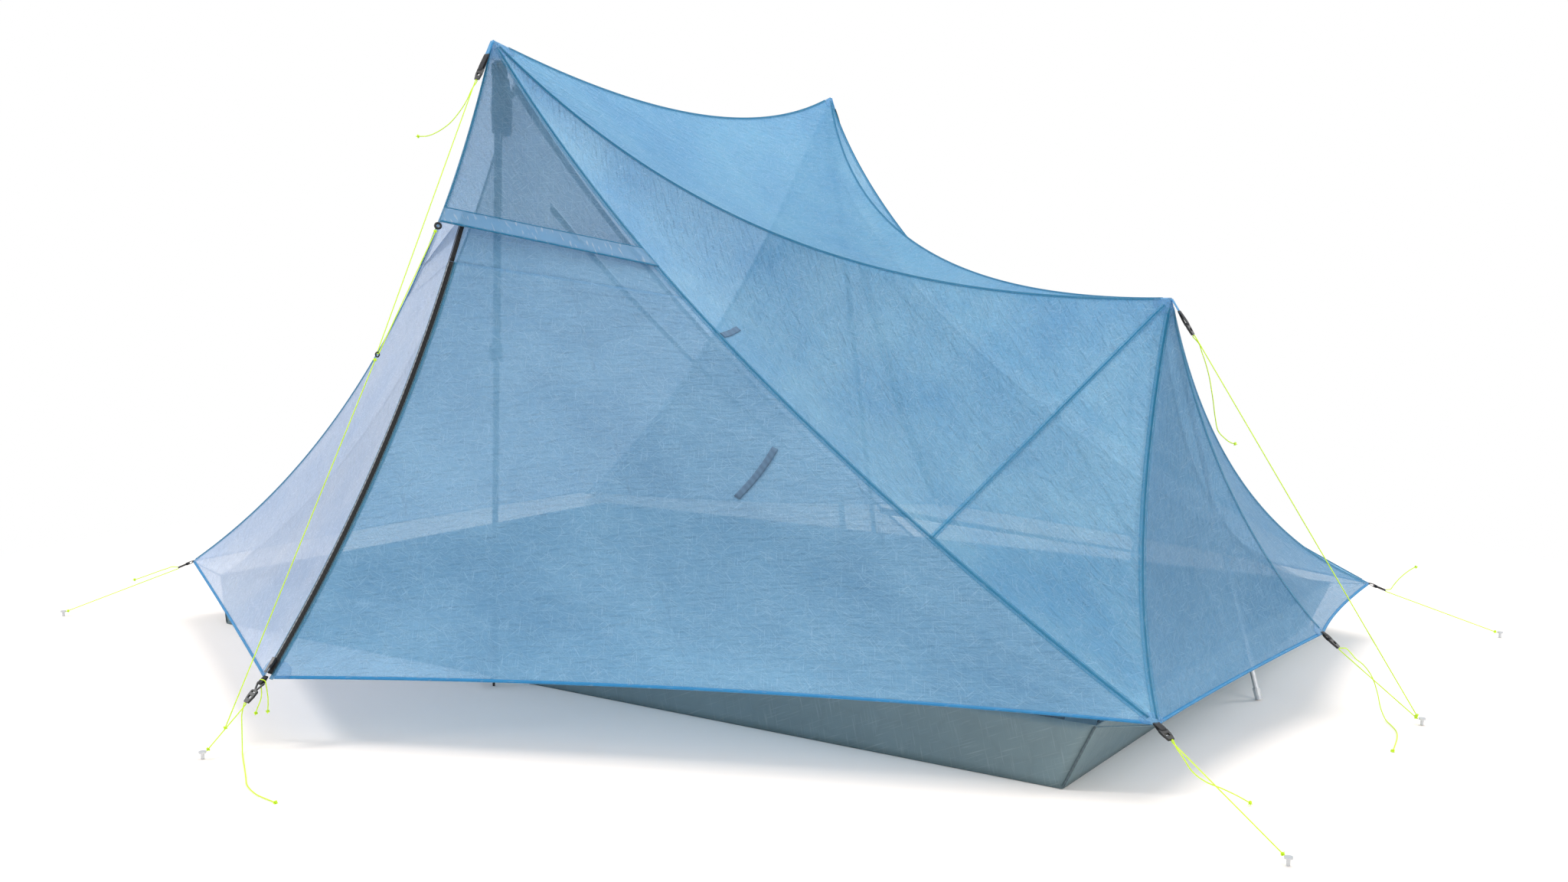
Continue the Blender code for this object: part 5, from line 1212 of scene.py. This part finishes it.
net = {
    "in": 0.060, "drop": 0.055, "low": 0.1108, "headShare": 0.030, "footShare": 0.975, "top": 0.985,
    "door": (0.45, 0.80), "doorLow": 0.05, "doorHigh": 0.86, "gap": 0.0015, "thick": 0.0004,
    "binding": (0.966, 0.976, 0.986), "bindingThick": 0.0016, "zipThick": 0.0012,
    "zipSide": -0.006, "zipDeep": 0.018,
}


def shareAt(curve, x):
    return next((k / 200 for k in range(201) if curve(k / 200).x > x), 1.0)


def netSurface(side):
    line = lines[side]
    ends = [Vector((tub[end], -tub["rimHalf"] * side, net["low"])) for end in ("rimHead", "rimFoot")]
    low = straight(*ends)
    post = (canopy["peak"][0] - tub["rimHead"]) / (tub["rimFoot"] - tub["rimHead"])
    reach = shareAt(line["doorSeam"], tub["rimFoot"])
    hang = Vector((0.0, net["in"] * side, -net["drop"]))

    def high(u):
        if u < post:
            return line["headSeam"]((1 - u / post) * (1 - net["headShare"])) + hang
        return line["doorSeam"]((u - post) / (1 - post) * reach) + hang

    return (lambda u, v: low(u).lerp(high(u), v)), post


def netPiece(name, rows, node, body="root", hole=None):
    bm = bmesh.new()
    gridInto(bm, rows)
    if hole:
        (i0, i1), (j0, j1) = hole
        block = [spot for row in rows[j0 : j1 + 1] for spot in row[i0 : i1 + 1]]
        corners = {tuple(round(c, 5) for c in spot) for spot in block}
        inside = [f for f in bm.faces if all(tuple(round(c, 5) for c in v.co) in corners for v in f.verts)]
        bmesh.ops.delete(bm, geom=inside, context="FACES")
    area = sum(f.calc_area() for f in bm.faces)
    width, length = lengthOf(rows[0]), flatSize(rows)[1]
    piece = finished(name, bm, [netting], body, thick=net["thick"], slot="mesh")
    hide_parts(node)
    area = min(max(area, 0.301 * width * length), width * length)
    sheets.append((piece, (width, length), area, "stretched", ["tub_sheet"]))


for side in (near, far):
    who = sideNames[side]
    wall, post = netSurface(side)
    (left, right), doorLow, doorHigh = net["door"], net["doorLow"], net["doorHigh"]
    us = spread(24, 0.0, post) + spread(5, post, left)[1:] + spread(30, left, right)[1:]
    us += spread(14, right, net["footShare"])[1:]
    vs = spread(2, 0.0, doorLow) + spread(24, doorLow, doorHigh)[1:] + spread(5, doorHigh, net["top"])[1:]
    hole = (us.index(left), us.index(right)), (vs.index(doorLow), vs.index(doorHigh))
    netPiece(f"{who}_mesh_sheet", [[wall(u, v) for u in us] for v in vs], f"{who}_mesh_wall", hole=hole)
    width, tall = (wall(right, 0) - wall(left, 0)).length, (wall(left, 1) - wall(left, 0)).length
    du, dv = net["gap"] * (right - left) / width, 2 * net["gap"] / tall
    leaf = f"{who}_mesh_door"
    us, vs = spread(30, left + du, right - du), spread(24, doorLow + dv, doorHigh - dv)
    netPiece(f"{leaf}_sheet", [[wall(u, v) for u in us] for v in vs], leaf, leaf)
    rows = [[wall(u, v) for v in net["binding"]] for u in spread(90, 0.02, net["footShare"])]
    name, thick = f"{who}_mesh_binding", net["bindingThick"]
    gridPiece(name, [rows], [netPiping], f"{who}_mesh_wall", thick=thick, slot="mesh")
    # zip round the net door: a black band along its free edges
    for name, rail, (inU, inV) in (
        ("side", lambda t: (right, doorLow + (doorHigh - doorLow) * t), (net["zipSide"], 0.0)),
        ("top", lambda t: (left + (right - left) * t, doorHigh - dv), (0.0, -net["zipDeep"])),
        ("low", lambda t: (left + (right - left) * t, doorLow + dv), (0.0, net["zipDeep"])),
    ):
        rows = []
        for u, v in (rail(t) for t in spread(40, 0.004, 0.996)):
            rows.append([wall(min(u, right - du) + inU * k, v + inV * k) for k in (0.0, 0.5, 1.0)])
        name, thick = f"{who}_door_zip_{name}", net["zipThick"]
        gridPiece(name, [rows], [zipTrim], leaf, leaf, thick=thick, slot="mesh")

footNet = {
    "topIn": 0.024, "topDrop": 0.060, "topHalf": 0.030, "sag": (-0.030, 0.100, -0.110),
    "binding": 0.008, "bindingThick": 0.0014,
}


def footNetSurface():
    peakX, _, peakZ = canopy["footPeak"]
    top = Vector((peakX - footNet["topIn"], 0.0, peakZ - footNet["topDrop"]))
    half, (x, y, z) = Vector((0.0, footNet["topHalf"], 0.0)), footNet["sag"]
    low = [Vector((tub["rimFoot"], way * tub["rimHalf"], net["low"])) for way in (-1, 1)]
    left = sagged(low[0], top - half, Vector((x, y, z)))
    right = sagged(low[1], top + half, Vector((x, -y, z)))
    return coons(straight(*low), straight(top - half, top + half), left, right)


footSurface = footNetSurface()
netPiece("foot_mesh_sheet", [[footSurface(u, v) for u in spread(40)] for v in spread(36)], "foot_mesh_wall")
for side, u in ((near, 0.0), (far, 1.0)):
    inward = footNet["binding"] * side
    rows = []
    for v in spread(30, 0.01, 0.99):
        rows.append([footSurface(u + inward * k * (1 + 6 * v), v) for k in (0.0, 0.5, 1.0)])
    name, thick = f"{sideNames[side]}_foot_mesh_binding", footNet["bindingThick"]
    gridPiece(name, [rows], [netPiping], "foot_mesh_wall", thick=thick, slot="mesh")

# straps for tying the door back: one at the seam, one on the door. They lie on the cloth in painted shade,
# the dark blue that black webbing behind the cloth shows where it blocks the light through it
tieStraps = {
    "half": 0.0065,
    "lift": 0.0012,
    "upper": ((0.02, 0.512), (0.24, 0.504)),  # start and end, as shares across and up the cloth
    "lower": ((0.86, 0.583), (0.70, 0.45)),
    "finish": {"thick": 0.0008, "offset": 1.0, "slot": "black_plastic"},
}


def clothSpot(rows, u, v):
    x, y = u * (len(rows[0]) - 1), v * (len(rows) - 1)
    i, j = min(int(x), len(rows[0]) - 2), min(int(y), len(rows) - 2)
    low, high = rows[j][i].lerp(rows[j][i + 1], x - i), rows[j + 1][i].lerp(rows[j + 1][i + 1], x - i)
    return low.lerp(high, y - j)


def strapOn(name, sheet, start, end, node, ride=True):
    cloth, small, rows = clothGrids[sheet], 1 / 60, []
    along = (clothSpot(cloth, *end) - clothSpot(cloth, *start)).normalized()
    for t in spread(12):
        u, v = start[0] + (end[0] - start[0]) * t, start[1] + (end[1] - start[1]) * t
        spot = clothSpot(cloth, u, v)
        out = outwardAt(spot, clothSpot(cloth, u + small, v) - spot, clothSpot(cloth, u, v + small) - spot)
        across = out.cross(along).normalized() * tieStraps["half"]
        rows.append([spot + out * tieStraps["lift"] + across * s for s in (-1.0, -0.5, 0.0, 0.5, 1.0)])
    return gridPiece(name, [rows], [strapShadeTone], node, ride=ride, **tieStraps["finish"])


for side in (near, far):
    who = sideNames[side]
    door = f"{who}_foot_door"
    strapOn(f"{who}_upper_tie_strap", f"{who}_side_sheet", *tieStraps["upper"], "canopy_seams")
    piece = strapOn(f"{who}_lower_tie_strap", f"{door}_sheet", *tieStraps["lower"], door, False)
    bendDoor(piece, side, "foot")

# webbing from the canopy's low corners to the floor's corners
floorTie = {
    "under": 0.0024, "short": 0.0019, "across": (-0.002, -0.001, 0.0, 0.001, 0.002), "thick": 0.0012,
}
for side in (near, far):
    for name, k in (("head", 0), ("foot", 1)):
        corner = points[side][f"{name}Corner"]
        goal = Vector((rim[k].x, rim[k].y * side, tub["wall"] - floorTie["under"]))
        place = frameAt(corner, goal - corner, Vector(upward))
        long = (goal - corner).length - floorTie["short"]
        rows = flatRows(place, spread(6, 0.0, long), floorTie["across"])
        tie, thick = f"{sideNames[side]}_{name}_floor_tie", floorTie["thick"]
        gridPiece(tie, [rows], [floorFilm], "canopy_seams", thick=thick, slot="black_plastic")
print("inner tent made")

# Guylines: the routes that the frame's cords take, each from its fixed end to its free one

cordCut = {
    "radius": 0.001, "turn": 0.0021, "steps": 6, "stakeHead": 0.0065, "headZ": 0.0115, "knotIn": 0.004,
}
tails = {
    "peak": [
        (-0.2400, -0.6870, 1.1700), (-0.2480, -0.6910, 1.1520), (-0.2590, -0.6970, 1.1320),
        (-0.2770, -0.7090, 1.1060), (-0.2960, -0.7220, 1.0890), (-0.3150, -0.7350, 1.0790),
        (-0.3340, -0.7480, 1.0780),
    ],
    "apex": [
        (-0.2190, -1.2880, 0.0600), (-0.2190, -1.2890, 0.0480), (-0.2180, -1.2900, 0.0320),
        (-0.2120, -1.2950, 0.0130), (-0.1950, -1.3080, 0.0030), (-0.1650, -1.3300, 0.0012),
        (-0.1250, -1.3580, 0.0012), (-0.0830, -1.3880, 0.0012), (-0.0430, -1.4160, 0.0012),
        (-0.0010, -1.4340, 0.0012), (0.0290, -1.4400, 0.0012), (0.0640, -1.4440, 0.0012),
    ],
    "head": [
        (-1.1930, -0.7310, 0.1215), (-1.2030, -0.7370, 0.1175), (-1.2160, -0.7450, 0.1125),
        (-1.2400, -0.7610, 0.1020), (-1.2610, -0.7750, 0.0930), (-1.2710, -0.7820, 0.0900),
    ],
    "nearCorner": [
        (1.2200, -0.6880, 0.0960), (1.2250, -0.6840, 0.0870), (1.2300, -0.6770, 0.0750),
        (1.2400, -0.6680, 0.0560), (1.2560, -0.6540, 0.0400), (1.2750, -0.6380, 0.0290),
        (1.2950, -0.6210, 0.0160), (1.3140, -0.6060, 0.0020),
    ],
    "farCorner": [
        (1.2220, 0.6900, 0.1090), (1.2260, 0.6940, 0.1160), (1.2350, 0.7010, 0.1300),
        (1.2480, 0.7090, 0.1450), (1.2610, 0.7170, 0.1560), (1.2700, 0.7240, 0.1600),
    ],
    "centre": [
        (1.2960, 0.0040, 0.1220), (1.3030, 0.0100, 0.1140), (1.3120, 0.0180, 0.1010),
        (1.3250, 0.0280, 0.0880), (1.3400, 0.0290, 0.0680), (1.3520, 0.0220, 0.0420),
        (1.3620, 0.0080, 0.0180), (1.3760, -0.0120, 0.0030), (1.3940, -0.0420, 0.0012),
        (1.4090, -0.0740, 0.0012), (1.4190, -0.1140, 0.0012), (1.4270, -0.1690, 0.0012),
        (1.4310, -0.2020, 0.0012),
    ],
    "footPeak": [
        (0.9990, 0.0020, 0.6800), (1.0040, 0.0050, 0.6640), (1.0100, 0.0090, 0.6450),
        (1.0170, 0.0150, 0.6150), (1.0230, 0.0210, 0.5750), (1.0270, 0.0260, 0.5400),
        (1.0320, 0.0310, 0.5120), (1.0440, 0.0390, 0.4960), (1.0540, 0.0450, 0.4880),
        (1.0640, 0.0510, 0.4850),
    ],
}
pullCord = [
    (-0.2350, -1.2490, 0.0450), (-0.2310, -1.2465, 0.0580), (-0.2270, -1.2440, 0.0690),
    (-0.2240, -1.2428, 0.0800), (-0.2232, -1.2432, 0.0920), (-0.2230, -1.2445, 0.1010),
    (-0.2232, -1.2453, 0.1079), (-0.2204, -1.2466, 0.1104), (-0.2161, -1.2468, 0.1107),
    (-0.2118, -1.2466, 0.1104), (-0.2090, -1.2453, 0.1079), (-0.2088, -1.2440, 0.1000),
    (-0.2095, -1.2420, 0.0900), (-0.2105, -1.2400, 0.0780), (-0.2120, -1.2390, 0.0650),
    (-0.2140, -1.2390, 0.0490),
]


def smoothRoute(stops):
    stops = [Vector(p) for p in stops]
    ends = [2 * stops[0] - stops[1], *stops, 2 * stops[-1] - stops[-2]]
    route = []
    for a, b, c, d in zip(ends, ends[1:], ends[2:], ends[3:]):
        for k in range(cordCut["steps"]):
            t = k / cordCut["steps"]
            bend = (c - a) * t + (2 * a - 5 * b + 4 * c - d) * t**2 + (3 * b - a - 3 * c + d) * t**3
            route.append(b + bend / 2)
    return [*route, stops[-1]]


def hairpin(place, start, length, way):
    # the cord's turn round the far end of a tensioner
    x = start + length + tieOuts["gap"] + tieOuts["buckle"] + tieOuts["gap"] + cordCut["radius"]
    r = cordCut["turn"]
    return [
        place @ Vector((x + r - r * math.cos(a), 0.0, way * r * math.sin(a)))
        for a in spread(8, -math.pi / 2, math.pi / 2)
    ]


def knotPiece(name, centre, along, node, body, size=0.00105):
    # an overhand knot: a trefoil of the same cord, pulled small
    spin = along.normalized().to_track_quat("Z", "Y").to_matrix()
    route = []
    for t in spread(35, 0.0, 2 * math.pi * 35 / 36):
        away = 2 + math.cos(3 * t)
        loop = Vector((away * math.cos(2 * t), away * math.sin(2 * t), 1.2 * math.sin(3 * t)))
        route.append(centre + spin @ (loop * size))
    knot = wireCurve(name, route, cordCut["radius"] * 0.85, neonCord, closed=True, resolution=2)
    dressWire(knot, body, node)
    return knot


def cordPiece(name, route, node, body="root", rootKnot=True):
    cord = wireCurve(name, route, cordCut["radius"], neonCord)
    dressWire(cord, body, node)
    for at, beside, tag in ((route[0], route[1], "root"), (route[-1], route[-2], "end")):
        if tag == "end" or rootKnot:
            inside = at + (beside - at).normalized() * cordCut["knotIn"]
            knotPiece(f"{name}_{tag}_knot", inside, beside - at, node, body)


def lineRoute(rig, tail, stake, side=near, way=-1, lift=0.0):
    turn = hairpin(*rig, way)
    goal = Vector((stake[0], stake[1] * side, 0.0))
    level = Vector((goal.x - turn[-1].x, goal.y - turn[-1].y, 0.0)).normalized()
    end = Vector((goal.x, goal.y, cordCut["headZ"] + lift)) - level * (cordCut["stakeHead"] + 0.0013)
    run = [turn[-1].lerp(end, t) for t in spread(12)[1:]]
    return [*smoothRoute([turn[0], *tails[tail]])[::-1], *turn[1:], *run][::-1]


def shyOf(start, end, cut):
    return end - (end - start).normalized() * cut


# the peak's line runs down through a small ring and back up to the hood's ring
rings = {
    "guyPlace": (0.005, -0.323, -0.609), "guyRadius": 0.0045, "guyWire": 0.0014,
    "hoodRadius": 0.0055, "hoodWire": 0.0024, "gap": 0.0003, "hoodGap": 0.0005,
}
apexStart = 0.008 + 0.0003 + 0.016
apexRig = (guyFrame(points[near]["apex"], stakes["apex"], near, (0, -1, 1)), apexStart, 0.0)
ringCentre = Vector(canopy["peak"]) + Vector(rings["guyPlace"])
hoodCorner = points[near]["hoodCorner"]
hoodDown = (hoodCorner - lines[near]["hoodRidge"](0.982)).normalized()
hoodReach = rings["hoodRadius"] + rings["hoodWire"]
hoodRing = hoodCorner + hoodDown * (hoodReach + rings["hoodGap"] + rings["gap"])
turn = hairpin(*rigs["near_peak"], 1)
up = ((turn[-1] - ringCentre).normalized() + (hoodRing - ringCentre).normalized()).normalized()
bend = rings["guyWire"] + cordCut["radius"] + rings["gap"]
loop = [
    ringCentre + up * rings["guyRadius"] + math.cos(a) * Vector((bend, 0, 0)) - bend * math.sin(a) * up
    for a in spread(8, math.pi, 0)
]
hoodEnd = shyOf(loop[-1], hoodRing, hoodReach + cordCut["radius"] + rings["gap"])
down = [turn[-1].lerp(loop[0], t) for t in spread(12)[1:-1]]
rise = [loop[-1].lerp(hoodEnd, t) for t in spread(8)[1:]]
peakTail = smoothRoute([turn[0], *tails["peak"]])[::-1]
cordPiece("near_peak_line", [*peakTail, *turn[1:], *down, *loop, *rise][::-1], "near_peak_guyline")
apexRoute = lineRoute(apexRig, "apex", stakes["apex"])
join = hairpin(*apexRig, -1)[-1].lerp(apexRoute[0], 0.55)
ringEnd = shyOf(join, ringCentre, rings["guyRadius"] + bend)
cordPiece("near_apex_line", apexRoute, "near_apex_guyline")
cordPiece("near_lower_line", [ringEnd.lerp(join, t) for t in spread(14)], "near_apex_guyline")
for name, rig, tail, stake, side, way, lift, node in (
    ("head_line", "near_head", "head", "head", near, -1, 0.0, "head_guyline"),
    ("near_corner_line", "near_foot", "nearCorner", "corner", near, -1, 0.0, "near_corner_guyline"),
    ("far_corner_line", "far_foot", "farCorner", "corner", far, -1, 0.0, "far_corner_guyline"),
    ("foot_centre_line", "foot_centre", "centre", "centre", near, -1, -0.0017, "foot_centre_guyline"),
    ("foot_peak_line", "foot_peak", "footPeak", "centre", near, 1, 0.0017, "foot_centre_guyline"),
):
    cordPiece(name, lineRoute(rigs[rig], tail, stakes[stake], side, way, lift), node)
pulls = smoothRoute(pullCord)
middle = len(pulls) // 2
for name, route in (("left", pulls[: middle + 1][::-1]), ("right", pulls[middle:])):
    cordPiece(f"zip_pull_{name}", route, "zip_pull_cord", "near_foot_door", False)
print("cords made")

# Hard parts keep the frame's shapes

finishes = {
    blackPlastic: ["tensioner", "_ring", "slider", "clamp", "lever", "pole_tip"],
    stakeMetal: ["stake", "foot_pole"],
    shaftMetal: ["tube"],
    foamGrip: ["grip"],
}
for node, thing in frame["nodes"].items():
    if thing.hide_render:
        continue
    finish = next((look for look, words in finishes.items() if any(word in node for word in words)), None)
    if not finish:
        print("still plain:", node)
    elif thing.material_slots:
        for slot in thing.material_slots:
            slot.material = finish
    else:
        thing.data.materials.append(finish)

# Studio: white floor that keeps the shadow near the tent and is plain white further off

studio = {
    "floorSize": 60.0, "near": 1.25, "farOff": 2.4, "floor": "#fff6ee", "world": 0.60, "sky": "#f3f7fc",
}
lamps = {
    "overhead": {"place": (0.3, 0.6, 4.6), "aim": (0.1, 0.0, 0.4), "size": 4.0, "power": 150.0},
    "front_left": {"place": (-3.6, -3.4, 3.4), "aim": (0.0, -0.3, 0.5), "size": 1.2, "power": 140.0},
    "right": {"place": (4.6, -1.4, 2.2), "aim": (0.3, 0.0, 0.4), "size": 2.4, "power": 45.0},
    "back_right": {"place": (3.4, 3.0, 1.9), "aim": (1.1, 0.2, 0.3), "size": 1.6, "power": 55.0},
}


def seenDirectly(tree):
    # 1 for what the camera sees, also in metal and through clear film
    path = addNode(tree, "LightPath").node.outputs
    seen = addNode(tree, "Math", larger, {0: path["Is Camera Ray"], 1: path["Is Glossy Ray"]})
    return addNode(tree, "Math", larger, {0: seen, 1: path["Is Transmission Ray"]})


def studioFloor():
    bm = bmesh.new()
    bmesh.ops.create_grid(bm, x_segments=1, y_segments=1, size=studio["floorSize"] / 2)
    bmesh.ops.translate(bm, vec=(0, 0, -0.0006), verts=bm.verts)
    mesh = bpy.data.meshes.new("studio_floor")
    bm.to_mesh(mesh)
    bm.free()
    floor = bpy.data.objects.new("studio_floor", mesh)
    bpy.context.scene.collection.objects.link(floor)
    material, tree, shader, coords = newMaterial("studio_floor", "Object")
    shader.inputs["Base Color"].default_value = linear(studio["floor"])
    shader.inputs["Roughness"].default_value = 0.9
    shader.inputs["Specular IOR Level"].default_value = 0.1
    away = addNode(tree, "VectorMath", {"operation": "LENGTH"}, {0: coords}, "Value")
    away = {"Value": away, "From Min": studio["near"], "From Max": studio["farOff"]}
    white = addNode(tree, "MapRange", {"interpolation_type": "SMOOTHSTEP"}, away)
    white = addNode(tree, "Math", times, {0: white, 1: seenDirectly(tree)})
    glow = addNode(tree, "Emission", None, {"Strength": 1.0})
    mix = addNode(tree, "MixShader", None, {0: white, 1: shader.outputs[0], 2: glow})
    tree.links.new(mix, tree.nodes["Material Output"].inputs["Surface"])
    mesh.materials.append(material)


def studioWorld():
    world = bpy.data.worlds.new("studio")
    world.use_nodes = True
    tree = world.node_tree
    sky = tree.nodes["Background"]
    sky.inputs["Color"].default_value = linear(studio["sky"])
    sky.inputs["Strength"].default_value = studio["world"]
    white = addNode(tree, "Background", None, {"Color": (1, 1, 1, 1), "Strength": 1.0})
    mix = addNode(tree, "MixShader", None, {0: seenDirectly(tree), 1: sky.outputs[0], 2: white})
    tree.links.new(mix, tree.nodes["World Output"].inputs["Surface"])
    bpy.context.scene.world = world


def studioLamps():
    for name, lamp in lamps.items():
        light = bpy.data.lights.new(name, "AREA")
        light.shape, light.size, light.energy = "DISK", lamp["size"], lamp["power"]
        thing = bpy.data.objects.new(name, light)
        bpy.context.scene.collection.objects.link(thing)
        place = Vector(lamp["place"])
        turn = (place - Vector(lamp["aim"])).to_track_quat("Z", "Y").to_matrix().to_4x4()
        thing.matrix_world = Matrix.Translation(place) @ turn


studioFloor()
studioWorld()
studioLamps()
bpy.context.scene.view_settings.view_transform = "Standard"
bpy.context.scene.cycles.transparent_max_bounces = 32
print("studio made")
